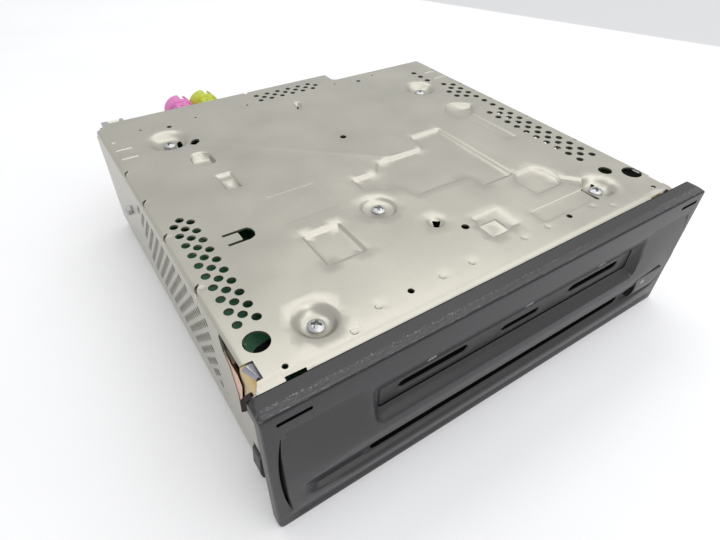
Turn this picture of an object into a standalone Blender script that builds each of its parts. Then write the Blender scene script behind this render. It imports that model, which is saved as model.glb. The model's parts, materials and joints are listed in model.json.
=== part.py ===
"""A single-height car disc and memory card reader: a folded steel case behind a moulded plastic front.

Lengths are in metres. The unit is laid out with x to the right, z up and y running back from the
front plane of the moulded front, and one empty then moves the whole unit so that its centre is at zero.
"""

import math

import bmesh
import bpy
from mathutils import Matrix, Vector

mm = 0.001

# General values
fit_gap = 0.3 * mm
overrun = 2.0 * mm
seam = 0.5 * mm
round_sides = 12
vent_sides = 8
turn_steps = 20

# Moulded front
front_width = 188.0 * mm
front_height = 57.4 * mm
front_depth = 7.6 * mm
front_corner = 2.5 * mm
front_rim = 3.2 * mm
front_side_rim = 5.8 * mm
front_skin = 2.7 * mm
crease_height = 26.6 * mm
crease_bulge = 2.2 * mm
panel_top = 49.1 * mm
panel_sink = 0.8 * mm
panel_floor = 2.4 * mm
panel_half_width = 90.0 * mm
panel_groove = 0.4 * mm
panel_curve_power = 1.25
panel_steps = 7

# Disc slot and lower rail
disc_slot_width = 122.6 * mm
disc_slot_low = 14.2 * mm
disc_slot_high = 17.5 * mm
rail_top = 13.7 * mm
rail_nose = 9.5 * mm
rail_foot = 3.2 * mm
rail_bulge = 1.7 * mm
funnel_half_width = 85.5 * mm
funnel_top = 26.1 * mm
funnel_bottom = 12.8 * mm
funnel_depth = 0.6 * mm

# Step in the sides of the front, behind its lip
side_lip = 4.2 * mm
side_step = 2.4 * mm
side_step_top = 51.5 * mm

# Card recess, its plate and the slots in the plate
recess_half_width = 61.5 * mm
recess_top = 47.6 * mm
recess_bottom = 30.2 * mm
recess_edge_sink = 0.5 * mm
plate_half_width = 58.0 * mm
plate_low = 33.5 * mm
plate_high = 42.0 * mm
plate_sink = 1.8 * mm
plate_thickness = 1.8 * mm
card_slot_offset = 37.5 * mm
card_slot_width = 27.0 * mm
card_slot_low = 37.6 * mm
card_slot_high = 40.2 * mm
small_slot_width = 17.5 * mm
small_slot_low = 36.6 * mm
small_slot_high = 38.7 * mm
slot_lead_drop = 1.6 * mm

# Release key slots and side pockets of the front
key_slot_width = 10.0 * mm
key_slot_inset = 4.0 * mm
key_slot_low = 52.7 * mm
key_slot_high = 54.0 * mm
side_pocket_width = 1.6 * mm
side_pocket_low = 7.0 * mm
side_pocket_high = 47.0 * mm
side_pocket_steps = 8

# Eject button, its switch and the small front board
button_left = 65.6 * mm
button_right = 83.4 * mm
button_low = 15.2 * mm
button_high = 25.2 * mm
button_back = 1.6 * mm
button_travel = 1.2 * mm
button_clearance = 0.4 * mm
switch_side = 6.0 * mm
switch_height = 1.5 * mm
front_board_low = 5.0 * mm
front_board_high = 31.0 * mm
front_board_left = 63.8 * mm
front_board_right = 87.6 * mm
front_board_thickness = 1.6 * mm
front_boss_radius = 1.4 * mm

# Steel case
body_half_width = 90.8 * mm
lid_top = 54.5 * mm
lid_flange_bottom = 5.5 * mm
lid_rear = 183.0 * mm
rear_step_x = 31.5 * mm
rear_step_depth = 9.0 * mm
sheet = 0.8 * mm
lid_fold = 1.2 * mm
tray_bottom = 1.5 * mm
tray_sheet = 0.9 * mm
tray_fold = 2.0 * mm
tray_wall_top = 50.0 * mm
tray_middle_wall_top = 16.0 * mm
fold_segments = 3
corner_cut = 6.0 * mm
corner_cut_drop = 7.0 * mm
foot_radius = 5.0 * mm

# Holes and pressings of the lid: places are shares of the half width and of the lid's rear edge
vent_radius = 1.45 * mm
vent_pitch = 6.05 * mm
rear_vent_radius = 1.3 * mm
lid_column_shares = (
    (-0.936, 0.187, 10),
    (-0.903, 0.204, 10),
    (-0.870, 0.187, 10),
    (0.837, 0.243, 10),
    (0.837, 0.672, 2),
    (0.837, 0.805, 3),
    (0.883, 0.260, 9),
    (0.883, 0.657, 4),
    (0.927, 0.244, 16),
)
lid_row_shares = ((-0.143, 0.964, 6), (-0.110, 0.947, 6), (-0.145, 0.930, 6))
large_hole_radius = 4.0 * mm
medium_hole_radius = 2.8 * mm
small_hole_radius = 1.5 * mm
pin_hole_radius = 1.1 * mm
large_hole_shares = ((-0.914, 0.140), (0.942, 0.142))
medium_hole_shares = ((0.851, 0.179),)
small_hole_shares = ((0.016, 0.189), (0.011, 0.628))
pin_hole_shares = (
    (-0.680, 0.903),
    (0.471, 0.907),
    (-0.384, 0.103),
    (0.423, 0.104),
    (-0.884, 0.077),
    (0.918, 0.080),
)
pad_depth = 1.2 * mm
pad_shares = {
    "square": ((-0.556, 0.231), (-0.380, 0.231), (-0.380, 0.333), (-0.556, 0.333)),
    "rear_tab": ((-0.705, 0.678), (-0.606, 0.678), (-0.606, 0.743), (-0.705, 0.743)),
    "middle_tab": ((-0.661, 0.552), (-0.595, 0.552), (-0.595, 0.617), (-0.661, 0.617)),
    "stepped": (
        (-0.176, 0.383),
        (-0.088, 0.367),
        (-0.033, 0.361),
        (-0.011, 0.322),
        (0.275, 0.322),
        (0.297, 0.279),
        (0.460, 0.279),
        (0.440, 0.530),
        (0.275, 0.525),
        (0.264, 0.470),
        (-0.011, 0.486),
        (-0.044, 0.454),
        (-0.176, 0.437),
    ),
    "front_square": ((0.419, 0.191), (0.595, 0.191), (0.595, 0.259), (0.419, 0.259)),
    "front_small": ((0.066, 0.137), (0.220, 0.137), (0.220, 0.202), (0.066, 0.202)),
    "rear_blob": ((0.650, 0.570), (0.720, 0.557), (0.826, 0.590), (0.800, 0.645), (0.661, 0.640)),
}
tongue_slot_width = 1.2 * mm
tongue_shares = (-0.804, -0.743, -0.694)
tongue_side_shares = (0.376, 0.414)
tab_notch_width = 4.2 * mm
tab_notch_shares = (0.074, 0.109)
hinge_notch_width = 7.0 * mm
hinge_notch_depth = 2.2 * mm

# Lid screws: place as shares, with the radius of the dish around each
dish_depth = 2.5 * mm
screw_places = {
    "front_left": (-0.719, 0.132, 7.0 * mm),
    "middle": (-0.193, 0.333, 6.2 * mm),
    "front_right": (0.716, 0.148, 8.0 * mm),
    "rear_right": (0.727, 0.770, 7.0 * mm),
    "rear_left": (-0.727, 0.836, 7.5 * mm),
}
screw_head_radius = 3.1 * mm
screw_head_height = 1.5 * mm
screw_shank_radius = 1.25 * mm
screw_length = 7.0 * mm
screw_cross_width = 0.7 * mm
screw_cross_depth = 0.8 * mm

# Vents, window and catch slot of the case sides: shares of the lid's rear edge and of the lid's height
side_vent_shares = (0.278, 0.365)
side_vent_columns = 13
side_vent_rows = 5
side_vent_radius = 1.5 * mm
window_shares = (
    (0.186, 0.966),
    (0.183, 0.872),
    (0.164, 0.820),
    (0.148, 0.624),
    (0.153, 0.440),
    (0.119, 0.596),
    (0.087, 0.826),
    (0.062, 0.966),
)
stud_shares = (0.765, 0.624)
stud_radius = 2.0 * mm
stud_shank_radius = 1.2 * mm
stud_head = 2.6 * mm
stud_grip = 3.4 * mm

# Release springs and their catches
catch_front = 16.2 * mm
catch_length = 5.6 * mm
catch_top = 14.8 * mm
catch_reach = 2.4 * mm
catch_foot = 0.8 * mm
catch_web_low = 7.0 * mm
catch_slot_gap = 0.7 * mm
catch_tip = 0.3 * mm
spring_thickness = 0.4 * mm
spring_front = 13.0 * mm
spring_pivot = 58.0 * mm
spring_tail = 0.5 * mm
spring_top = 49.0 * mm
spring_root_low = 24.0 * mm
spring_root_high = 40.0 * mm
spring_low = 4.0 * mm
spring_neck = 44.0 * mm
spring_swing = 2.6 * mm

# Disc drive
disc_height = 15.85 * mm
disc_thickness = 1.2 * mm
spindle_y = 72.0 * mm
drive_half_width = 65.0 * mm
drive_bottom = 9.0 * mm
drive_wall_top = 24.0 * mm
drive_front = 13.0 * mm
drive_rear = 166.0 * mm
drive_sheet = 1.0 * mm
drive_fold = 1.2 * mm
cover_window_half_width = 24.0 * mm
cover_window_front = 90.0 * mm
cover_window_rear = 130.0 * mm
damper_x = 58.0 * mm
damper_front_y = 26.0 * mm
damper_rear_y = 156.0 * mm
damper_radius = 4.5 * mm
damper_waist = 3.3 * mm
damper_bore = 1.2 * mm
damper_post_height = 1.6 * mm
damper_post_radius = 4.2 * mm

# Loading roller and its gear train
roller_y = 18.0 * mm
roller_radius = 3.0 * mm
roller_waist = 2.6 * mm
roller_half_length = 60.0 * mm
shaft_radius = 1.2 * mm
gear_module = 0.6 * mm
gear_width = 3.0 * mm
gear_inset = 1.2 * mm
gear_backlash = 0.1 * mm
roller_teeth = 16
idler_teeth = 24
pinion_teeth = 10
pinion_drop = 1.0 * mm
pinion_shaft_radius = 0.8 * mm
loading_motor_radius = 3.5 * mm
loading_motor_length = 13.0 * mm

# Spindle, turntable and clamp
spindle_motor_radius = 12.0 * mm
spindle_motor_height = 4.3 * mm
spindle_boss_radius = 3.7 * mm
spindle_boss_height = 3.1 * mm
spindle_shaft_radius = 1.0 * mm
turntable_radius = 14.0 * mm
turntable_thickness = 2.5 * mm
hub_radius = 7.3 * mm
hub_height = 1.4 * mm
hub_taper = 0.9 * mm
clamp_pivot_y = 138.0 * mm
clamp_pivot_z = 21.0 * mm
clamp_arm_half_width = 14.0 * mm
clamp_arm_thickness = 1.2 * mm
clamp_arm_front = 56.0 * mm
clamp_neck_radius = 6.9 * mm
clamp_flange = 1.5 * mm
clamp_cap_radius = 9.0 * mm
clamp_cap = 0.8 * mm
clamp_recess_depth = 1.0 * mm

# Pickup sled
sled_half_width = 25.0 * mm
sled_front = 92.0 * mm
sled_length = 24.0 * mm
sled_bottom = 5.2 * mm
sled_top = 12.4 * mm
sled_travel = 30.0 * mm
sled_window_margin = 3.0 * mm
lens_radius = 3.2 * mm
lens_height = 1.5 * mm
lens_setback = 6.0 * mm
rod_x = 20.0 * mm
rod_z = 7.2 * mm
rod_radius = 1.5 * mm
rod_tab_depth = 2.0 * mm
rod_tab_half_width = 2.6 * mm
rod_tab_bottom = 4.6 * mm
rod_end = 0.5 * mm
screw_x = -31.0 * mm
screw_z = 6.9 * mm
screw_radius = 1.2 * mm
nut_length = 8.0 * mm
nut_half_width = 3.0 * mm
nut_top = 8.6 * mm
sled_motor_radius = 4.0 * mm
sled_motor_length = 12.0 * mm

# Upper frame, boards and what they carry
frame_plate_z = 29.5 * mm
frame_plate = 1.2 * mm
frame_half_width = 82.0 * mm
frame_front = 14.0 * mm
frame_rear = 165.0 * mm
frame_window_half_width = 52.0 * mm
frame_window_front = 44.0 * mm
frame_window_rear = 140.0 * mm
frame_leg_x = 77.0 * mm
frame_leg_side = 6.0 * mm
frame_leg_front_y = 56.0 * mm
frame_leg_rear_y = 154.0 * mm
post_radius = 3.2 * mm
post_collar_radius = 4.6 * mm
post_bore_depth = 8.0 * mm
board_bottom = 41.9 * mm
board_thickness = 1.6 * mm
board_front = 11.0 * mm
board_half_width = 88.5 * mm
board_front_half_width = 84.0 * mm
board_notch_rear = 64.0 * mm
chip_height = 2.1 * mm
chip_places = {
    "processor": (0.132, 0.393, 20.0 * mm),
    "memory": (-0.468, 0.282, 14.0 * mm),
    "audio": (0.507, 0.225, 11.0 * mm),
    "power": (0.738, 0.602, 12.0 * mm),
    "driver": (-0.628, 0.585, 9.0 * mm),
}
capacitor_radius = 3.0 * mm
capacitor_height = 6.5 * mm
capacitor_shares = ((-0.837, 0.450), (-0.837, 0.500), (0.300, 0.800), (0.390, 0.800))
spreader_half_side = 12.0 * mm
tuner_half_width = 14.0 * mm
tuner_length = 34.0 * mm
tuner_height = 9.1 * mm

# Card sockets
socket_front = 5.0 * mm
socket_length = 28.5 * mm
socket_wall = 1.0 * mm
card_width = 24.4 * mm
card_cavity_height = 2.4 * mm
small_socket_length = 19.0 * mm
small_card_width = 15.4 * mm
small_cavity_height = 1.7 * mm
slider_length = 3.5 * mm
slider_width = 7.0 * mm
card_travel = 4.5 * mm
small_card_travel = 3.0 * mm
slider_stop = 0.3 * mm

# Felt strips behind the disc slot
felt_height = 3.0 * mm
felt_thickness = 0.9 * mm
felt_gap = 1.2 * mm
felt_half_width = 62.5 * mm

# Rear panel and connectors
panel_top_gap = 0.3 * mm
rear_panel_half_width = 88.5 * mm
coax_radius = 6.4 * mm
coax_bore = 4.4 * mm
coax_base = 1.6 * mm
coax_stub_radius = 1.6 * mm
coax_height = 47.4 * mm
coax_pitch = 13.0 * mm
coax_centre_x = -41.3 * mm
coax_stub_reach = 11.0 * mm
connector_reach = 199.0 * mm
data_left = -87.0 * mm
data_right = -76.0 * mm
data_low = 38.0 * mm
data_high = 52.0 * mm
data_front = 176.0 * mm
data_rear = 193.0 * mm
data_wall = 1.5 * mm
data_cavity = 9.0 * mm
power_left = 40.0 * mm
power_right = 84.0 * mm
power_low = 8.0 * mm
power_high = 32.0 * mm
power_front = 167.0 * mm
power_rear = 186.0 * mm
power_wall = 2.0 * mm
power_cavity = 14.0 * mm

# Worked out from the values above
body_front = front_depth + fit_gap
lid_under = lid_top - sheet
tray_half_width = body_half_width - sheet - fit_gap
tray_inner = tray_half_width - tray_sheet
tray_floor = tray_bottom + tray_sheet
step_rear = lid_rear - rear_step_depth
panel_outer = lid_rear - fit_gap
panel_inner = panel_outer - sheet
board_top = board_bottom + board_thickness
drive_floor = drive_bottom + drive_sheet
roller_z = disc_height - disc_thickness / 2 - roller_radius
turntable_top = disc_height - disc_thickness / 2 - seam / 4
dish_floor = lid_top - dish_depth
post_top = dish_floor - sheet - fit_gap
pad_under = lid_top - pad_depth - sheet
gear_low = drive_half_width + gear_inset
gear_high = gear_low + gear_width
spring_face = tray_inner - fit_gap
unit_middle_y = (connector_reach - crease_bulge) / 2

COLOURS = {
    "steel_sheet": ((0.45, 0.44, 0.38), 0.35, 1.0),
    "bright_steel": ((0.62, 0.62, 0.60), 0.25, 1.0),
    "front_plastic": ((0.085, 0.085, 0.088), 0.55, 0.0),
    "plate_plastic": ((0.060, 0.060, 0.063), 0.35, 0.0),
    "black_plastic": ((0.02, 0.02, 0.022), 0.45, 0.0),
    "spring_bronze": ((0.60, 0.36, 0.22), 0.35, 1.0),
    "board_green": ((0.02, 0.16, 0.05), 0.40, 0.0),
    "rubber": ((0.03, 0.03, 0.03), 0.80, 0.0),
    "felt": ((0.02, 0.02, 0.02), 0.95, 0.0),
    "white_plastic": ((0.80, 0.80, 0.76), 0.40, 0.0),
    "ivory_plastic": ((0.80, 0.78, 0.60), 0.45, 0.0),
    "pink_plastic": ((0.80, 0.24, 0.52), 0.40, 0.0),
    "lime_plastic": ((0.62, 0.64, 0.06), 0.40, 0.0),
    "aluminium": ((0.70, 0.70, 0.71), 0.35, 1.0),
    "lens_glass": ((0.55, 0.60, 0.75), 0.05, 0.0),
}


def clear_scene():
    for old in list(bpy.data.objects):
        bpy.data.objects.remove(old, do_unlink=True)


def new_collection(name, parent):
    made = bpy.data.collections.new(name)
    parent.children.link(made)
    return made


def new_material(name):
    colour, roughness, metallic = COLOURS[name]
    made = bpy.data.materials.new(name)
    made.use_nodes = True
    shader = made.node_tree.nodes["Principled BSDF"]
    shader.inputs["Base Color"].default_value = (*colour, 1.0)
    shader.inputs["Roughness"].default_value = roughness
    shader.inputs["Metallic"].default_value = metallic
    made.diffuse_color = (*colour, 1.0)
    return made


clear_scene()
parts = new_collection("car_card_reader", bpy.context.scene.collection)
cutters = new_collection("cutters", bpy.context.scene.collection)
materials = {name: new_material(name) for name in COLOURS}
unit_origin = bpy.data.objects.new("unit_origin", None)
unit_origin.location = (0, -unit_middle_y, 0)
parts.objects.link(unit_origin)


# Shapes
AXES = {
    "x": Matrix(((0, 0, 1), (1, 0, 0), (0, 1, 0))),
    "y": Matrix(((1, 0, 0), (0, 0, -1), (0, 1, 0))),
    "z": Matrix.Identity(3),
}


def mesh_object(name, mesh):
    return bpy.data.objects.new(name, mesh)


def from_bmesh(name, shape):
    mesh = bpy.data.meshes.new(name)
    shape.to_mesh(mesh)
    shape.free()
    return mesh_object(name, mesh)


def box(name, low, high):
    """A block between two corners."""
    shape = bmesh.new()
    bmesh.ops.create_cube(shape, size=1.0)
    low, high = Vector(low), Vector(high)
    for vertex in shape.verts:
        vertex.co = (low + high) / 2 + vertex.co * (high - low)
    return from_bmesh(name, shape)


def rod(name, axis, centre, low, high, radius, end_radius=None, sides=round_sides):
    """A round bar or frustum along an axis; centre is the pair of places across that axis, in x, y, z order."""
    shape = bmesh.new()
    bmesh.ops.create_cone(
        shape,
        cap_ends=True,
        segments=sides,
        radius1=radius,
        radius2=radius if end_radius is None else end_radius,
        depth=high - low,
    )
    turn = {"x": Matrix.Rotation(math.pi / 2, 3, "Y"), "y": Matrix.Rotation(-math.pi / 2, 3, "X")}
    middle = list(centre)
    middle.insert("xyz".index(axis), (low + high) / 2)
    for vertex in shape.verts:
        vertex.co = turn.get(axis, Matrix.Identity(3)) @ vertex.co + Vector(middle)
    return from_bmesh(name, shape)


def rods(name, axis, centres, low, high, radius, sides=vent_sides):
    """Many equal round bars in one mesh, for a field of holes."""
    shape = bmesh.new()
    for centre in centres:
        single = rod(name, axis, centre, low, high, radius, sides=sides)
        shape.from_mesh(single.data)
        bpy.data.meshes.remove(single.data)
    return from_bmesh(name, shape)


def prism(name, axis, outline, low, high):
    """A flat outline pushed along an axis; the outline is in y, z for x, in x, z for y and in x, y for z."""
    curve = bpy.data.curves.new(name, "CURVE")
    curve.dimensions = "2D"
    curve.fill_mode = "BOTH"
    curve.extrude = (high - low) / 2
    spline = curve.splines.new("POLY")
    spline.points.add(len(outline) - 1)
    for point, (across, along) in zip(spline.points, outline):
        point.co = (across, along, 0, 1)
    spline.use_cyclic_u = True
    guide = bpy.data.objects.new(name, curve)
    bpy.context.scene.collection.objects.link(guide)
    bpy.context.view_layer.update()
    mesh = bpy.data.meshes.new_from_object(guide.evaluated_get(bpy.context.evaluated_depsgraph_get()))
    bpy.data.objects.remove(guide, do_unlink=True)
    shape = bmesh.new()
    shape.from_mesh(mesh)
    bmesh.ops.remove_doubles(shape, verts=shape.verts, dist=seam / 1000)
    middle = AXES[axis] @ Vector((0, 0, 1))
    for vertex in shape.verts:
        vertex.co = AXES[axis] @ vertex.co + middle * (low + high) / 2 * (-1 if axis == "y" else 1)
    bmesh.ops.recalc_face_normals(shape, faces=shape.faces)
    return from_bmesh(name, shape)


def turned(name, axis, centre, profile, steps=turn_steps):
    """A turned solid: profile is (radius, place along the axis), from the top down its outer side."""
    shape = bmesh.new()
    corners = [shape.verts.new((radius, 0, place)) for radius, place in profile]
    ring = corners if profile[0][0] == 0 and profile[-1][0] == 0 else corners + corners[:1]
    for first, second in zip(ring, ring[1:]):
        shape.edges.new((first, second))
    obj = from_bmesh(name, shape)
    screw = obj.modifiers.new("turn", "SCREW")
    screw.axis = "Z"
    screw.steps = steps
    screw.render_steps = steps
    screw.use_merge_vertices = True
    screw.merge_threshold = seam / 100
    turn = {"x": Matrix.Rotation(math.pi / 2, 4, "Y"), "y": Matrix.Rotation(-math.pi / 2, 4, "X")}
    middle = list(centre)
    middle.insert("xyz".index(axis), 0)
    obj.matrix_basis = Matrix.Translation(middle) @ turn.get(axis, Matrix.Identity(4))
    return obj


def channel(name, half_width, front, rear, low, high, thickness, fold, open_face):
    """A folded sheet with two sides and a top or a bottom: three faces of a block, bent and thickened."""
    obj = box(name, (-half_width, front, low), (half_width, rear, high))
    shape = bmesh.new()
    shape.from_mesh(obj.data)
    gone = [face for face in shape.faces if abs(face.normal.y) > 0.5 or face.normal.z * open_face > 0.5]
    bmesh.ops.delete(shape, geom=gone, context="FACES")
    shape.to_mesh(obj.data)
    shape.free()
    bend = obj.modifiers.new("folds", "BEVEL")
    bend.width = fold
    bend.segments = fold_segments
    wall = obj.modifiers.new("sheet", "SOLIDIFY")
    wall.thickness = thickness
    wall.offset = -1
    wall.use_even_offset = True
    return obj


# Joining, cutting and placing
def operate(target, tools, operation):
    group = new_collection(f"{target.name}_{operation.lower()}_{len(target.modifiers)}", cutters)
    for tool in tools:
        group.objects.link(tool)
        tool.hide_render = True
        tool.display_type = "WIRE"
        tool.parent = unit_origin
    step = target.modifiers.new(operation.lower(), "BOOLEAN")
    step.operation = operation
    step.operand_type = "COLLECTION"
    step.collection = group
    step.solver = "EXACT"


def join(target, *tools):
    operate(target, tools, "UNION")


def cut(target, *tools):
    operate(target, tools, "DIFFERENCE")


def place(obj, finish, edge=None):
    """Puts a finished piece in the unit, with its material and, where given, eased edges."""
    parts.objects.link(obj)
    obj.parent = unit_origin
    obj.data.materials.append(materials[finish])
    if edge:
        ease = obj.modifiers.new("edges", "BEVEL")
        ease.width = edge
        ease.segments = 1
        ease.limit_method = "ANGLE"
        ease.angle_limit = math.radians(50)
    obj.data.shade_smooth()
    obj.data.set_sharp_from_angle(angle=math.radians(35))
    return obj


def lid_point(share_x, share_y):
    return share_x * body_half_width, share_y * lid_rear


def side_point(share_y, share_z):
    return share_y * lid_rear, share_z * lid_top


def mirrored(outline, side):
    return [(side * across, along) for across, along in outline]


# Moulded front
def panel_face(height):
    """How far the swollen front panel stands back from the front plane at a height."""
    if height >= crease_height:
        share = (height - crease_height) / (panel_top - crease_height)
        return -crease_bulge + (crease_bulge + panel_sink) * share**panel_curve_power
    share = (crease_height - height) / (crease_height - rail_top)
    return -crease_bulge + (crease_bulge - rail_bulge) * share


def spread(low, high, count):
    return [low + (high - low) * step / count for step in range(count + 1)]


def panel_outline():
    upper = [(panel_face(height), height) for height in spread(panel_top, crease_height, panel_steps)]
    rail = [
        (-rail_bulge, rail_top),
        (-rail_bulge, (rail_top + rail_nose) / 2),
        (-rail_bulge * 0.85, rail_nose),
        (0, rail_foot),
        (panel_groove, rail_foot - panel_groove * 3),
    ]
    back = panel_floor + panel_groove
    return upper + rail + [(back, rail_foot - panel_groove * 3), (back, panel_top)]


def funnel_outline():
    """The hollow that leads a disc into its slot, seen from the side."""
    outside = -crease_bulge - overrun
    drop = funnel_top - disc_slot_high
    reach = crease_bulge + funnel_depth
    upper = [
        (funnel_depth - reach * share, disc_slot_high + drop * rise)
        for share, rise in ((0, 0), (0.14, 0.12), (0.42, 0.36), (0.78, 0.72), (0.97, 0.94))
    ]
    lower = [
        (-rail_bulge * share, disc_slot_low + (funnel_bottom - disc_slot_low) * fall)
        for share, fall in ((0.95, 0.85), (0.4, 0.3))
    ]
    ends = [(outside, funnel_top), (outside, funnel_bottom)]
    return upper + ends + lower + [(funnel_depth, disc_slot_low)]


def rounded_rectangle(half_width, low, high, radius, steps=3):
    points = []
    corners = (
        (half_width - radius, low + radius, -90),
        (half_width - radius, high - radius, 0),
        (radius - half_width, high - radius, 90),
        (radius - half_width, low + radius, 180),
    )
    for across, up, start in corners:
        for step in range(steps + 1):
            angle = math.radians(start + 90 * step / steps)
            points.append((across + radius * math.cos(angle), up + radius * math.sin(angle)))
    return points


def lens_outline(middle, half_width, low, high, steps):
    """Two shallow arcs between the same ends."""
    heights = spread(low, high, steps)
    swell = [half_width * math.sin(math.pi * step / steps) for step in range(steps + 1)]
    left = [(middle - bulge, height) for bulge, height in zip(swell, heights)]
    right = [(middle + bulge, height) for bulge, height in zip(swell, heights)]
    return left + right[-2:0:-1]


def build_front():
    half = front_width / 2
    front = prism(
        "bezel", "y", rounded_rectangle(half, 0, front_height, front_corner), 0, front_depth
    )
    pocket_half = panel_half_width + panel_groove
    cut(
        front,
        box(
            "panel_pocket",
            (-pocket_half, -overrun, rail_foot),
            (pocket_half, panel_floor, panel_top + panel_groove),
        ),
    )
    join(front, prism("panel", "x", panel_outline(), -panel_half_width, panel_half_width))
    cut(
        front,
        box(
            "hollow",
            (front_side_rim - half, front_skin, front_rim),
            (half - front_side_rim, front_depth + overrun, front_height - front_rim),
        ),
    )
    pocket_middle = panel_half_width + panel_groove
    side_pockets = [
        prism(
            f"side_pocket_{side}",
            "y",
            mirrored(
                lens_outline(
                    pocket_middle,
                    side_pocket_width / 2,
                    side_pocket_low,
                    side_pocket_high,
                    side_pocket_steps,
                ),
                side,
            ),
            -crease_bulge - overrun,
            panel_floor,
        )
        for side in (-1, 1)
    ]
    key_high_x = half - key_slot_inset
    key_slots = [
        box(
            f"key_slot_{side}",
            (min(side * key_high_x, side * (key_high_x - key_slot_width)), -overrun, key_slot_low),
            (max(side * key_high_x, side * (key_high_x - key_slot_width)), front_depth + overrun, key_slot_high),
        )
        for side in (-1, 1)
    ]
    recess = prism(
        "card_recess",
        "x",
        [
            (plate_sink, plate_high + fit_gap),
            (recess_edge_sink, recess_top),
            (-crease_bulge - overrun, recess_top),
            (-crease_bulge - overrun, recess_bottom - overrun / 2),
            (plate_sink, plate_low - fit_gap),
        ],
        -recess_half_width,
        recess_half_width,
    )
    plate_hole = box(
        "plate_hole",
        (-plate_half_width - fit_gap, 0, plate_low - fit_gap),
        (plate_half_width + fit_gap, front_depth, plate_high + fit_gap),
    )
    disc_slot = box(
        "disc_slot",
        (-disc_slot_width / 2, -overrun * 2, disc_slot_low),
        (disc_slot_width / 2, front_depth, disc_slot_high),
    )
    button_hole = box(
        "button_hole",
        (button_left - button_clearance, -overrun * 2, button_low - button_clearance),
        (button_right + button_clearance, front_depth, button_high + button_clearance),
    )
    funnel = prism("funnel", "x", funnel_outline(), -funnel_half_width, funnel_half_width)
    side_steps = [
        box(
            f"side_step_{side}",
            (min(side * half, side * (half - side_step)) - (overrun if side < 0 else 0), side_lip, -overrun),
            (max(side * half, side * (half - side_step)) + (overrun if side > 0 else 0),
             front_depth + overrun, side_step_top),
        )
        for side in (-1, 1)
    ]
    cut(front, funnel)
    cut(front, recess, plate_hole, disc_slot, button_hole, *key_slots, *side_pockets, *side_steps)
    bosses = [
        rod(
            f"board_boss_{number}",
            "y",
            (across, up),
            front_skin - seam,
            board_face() - fit_gap,
            front_boss_radius,
        )
        for number, (across, up) in enumerate(front_boss_places())
    ]
    join(front, *bosses)
    place(front, "front_plastic")


def board_face():
    """The front of the small front board."""
    return button_back + button_travel + fit_gap + switch_height + fit_gap


def front_boss_places():
    middle = (front_board_left + front_board_right) / 2
    reach = (front_board_right - front_board_left) / 4
    low = (front_board_low + button_low) / 2
    high = (front_board_high + button_high) / 2
    return (middle - reach, low), (middle + reach, high)


def build_card_plate():
    back = plate_sink + plate_thickness
    plate = box("card_plate", (-plate_half_width, plate_sink, plate_low), (plate_half_width, back, plate_high))
    slots = []
    for number, (middle, width, low, high) in enumerate(slot_places()):
        slots.append(
            box(
                f"slot_{number}",
                (middle - width / 2, plate_sink - overrun, low),
                (middle + width / 2, back + overrun, high),
            )
        )
        slots.append(
            prism(
                f"slot_lead_{number}",
                "x",
                [
                    (plate_sink - fit_gap, low - slot_lead_drop),
                    (plate_sink + plate_thickness / 2, low + seam / 2),
                    (plate_sink - fit_gap, low + seam / 2),
                ],
                middle - width / 2,
                middle + width / 2,
            )
        )
    cut(plate, *slots)
    place(plate, "plate_plastic")


def slot_places():
    return (
        (-card_slot_offset, card_slot_width, card_slot_low, card_slot_high),
        (card_slot_offset, card_slot_width, card_slot_low, card_slot_high),
        (0, small_slot_width, small_slot_low, small_slot_high),
    )


def build_eject():
    face = [(panel_face(height), height) for height in spread(button_low, button_high, 3)]
    outline = face + [(button_back, button_high), (button_back, button_low)]
    place(prism("eject_button", "x", outline, button_left, button_right), "front_plastic")
    middle_x = (button_left + button_right) / 2
    middle_z = (button_low + button_high) / 2
    switch_back = board_face() - fit_gap
    place(
        box(
            "eject_switch",
            (middle_x - switch_side / 2, switch_back - switch_height, middle_z - switch_side / 2),
            (middle_x + switch_side / 2, switch_back, middle_z + switch_side / 2),
        ),
        "black_plastic",
    )
    place(
        box(
            "front_board",
            (front_board_left, board_face(), front_board_low),
            (front_board_right, board_face() + front_board_thickness, front_board_high),
        ),
        "board_green",
    )


def build_felts():
    middle = (disc_slot_low + disc_slot_high) / 2
    lows = {"upper": middle + felt_gap / 2, "lower": middle - felt_gap / 2 - felt_height}
    for name, low in lows.items():
        place(
            box(
                f"slot_felt_{name}",
                (-felt_half_width, front_skin + fit_gap, low),
                (felt_half_width, front_skin + fit_gap + felt_thickness, low + felt_height),
            ),
            "felt",
        )


# Steel case
def vent_centres():
    columns = [
        (lid_point(x_share, y_share)[0], lid_point(x_share, y_share)[1] + vent_pitch * number)
        for x_share, y_share, count in lid_column_shares
        for number in range(count)
    ]
    rows = [
        (lid_point(x_share, y_share)[0] + vent_pitch * number, lid_point(x_share, y_share)[1])
        for x_share, y_share, count in lid_row_shares
        for number in range(count)
    ]
    return columns, rows


def side_vent_centres():
    first_y, first_z = side_point(*side_vent_shares)
    return [
        (first_y + vent_pitch * (column + (row % 2) / 2), first_z + vent_pitch * row)
        for row in range(side_vent_rows)
        for column in range(side_vent_columns - row % 2)
    ]


def through_sides(name, outline):
    """A cutter that goes through both side walls at once."""
    reach = body_half_width + overrun
    return prism(name, "x", outline, -reach, reach)


def stud_hole(name):
    reach = body_half_width + overrun
    return rod(name, "x", side_point(*stud_shares), -reach, reach, stud_shank_radius + fit_gap)


def catch_slots(name, low):
    """Openings that the catches pass through, one in each side."""
    return [
        box(
            f"{name}_{side}",
            (
                min(side * (tray_inner - spring_swing), side * (body_half_width + overrun)),
                catch_front - catch_slot_gap,
                low,
            ),
            (
                max(side * (tray_inner - spring_swing), side * (body_half_width + overrun)),
                catch_front + catch_length + catch_slot_gap,
                catch_top + catch_slot_gap,
            ),
        )
        for side in (-1, 1)
    ]


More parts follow.
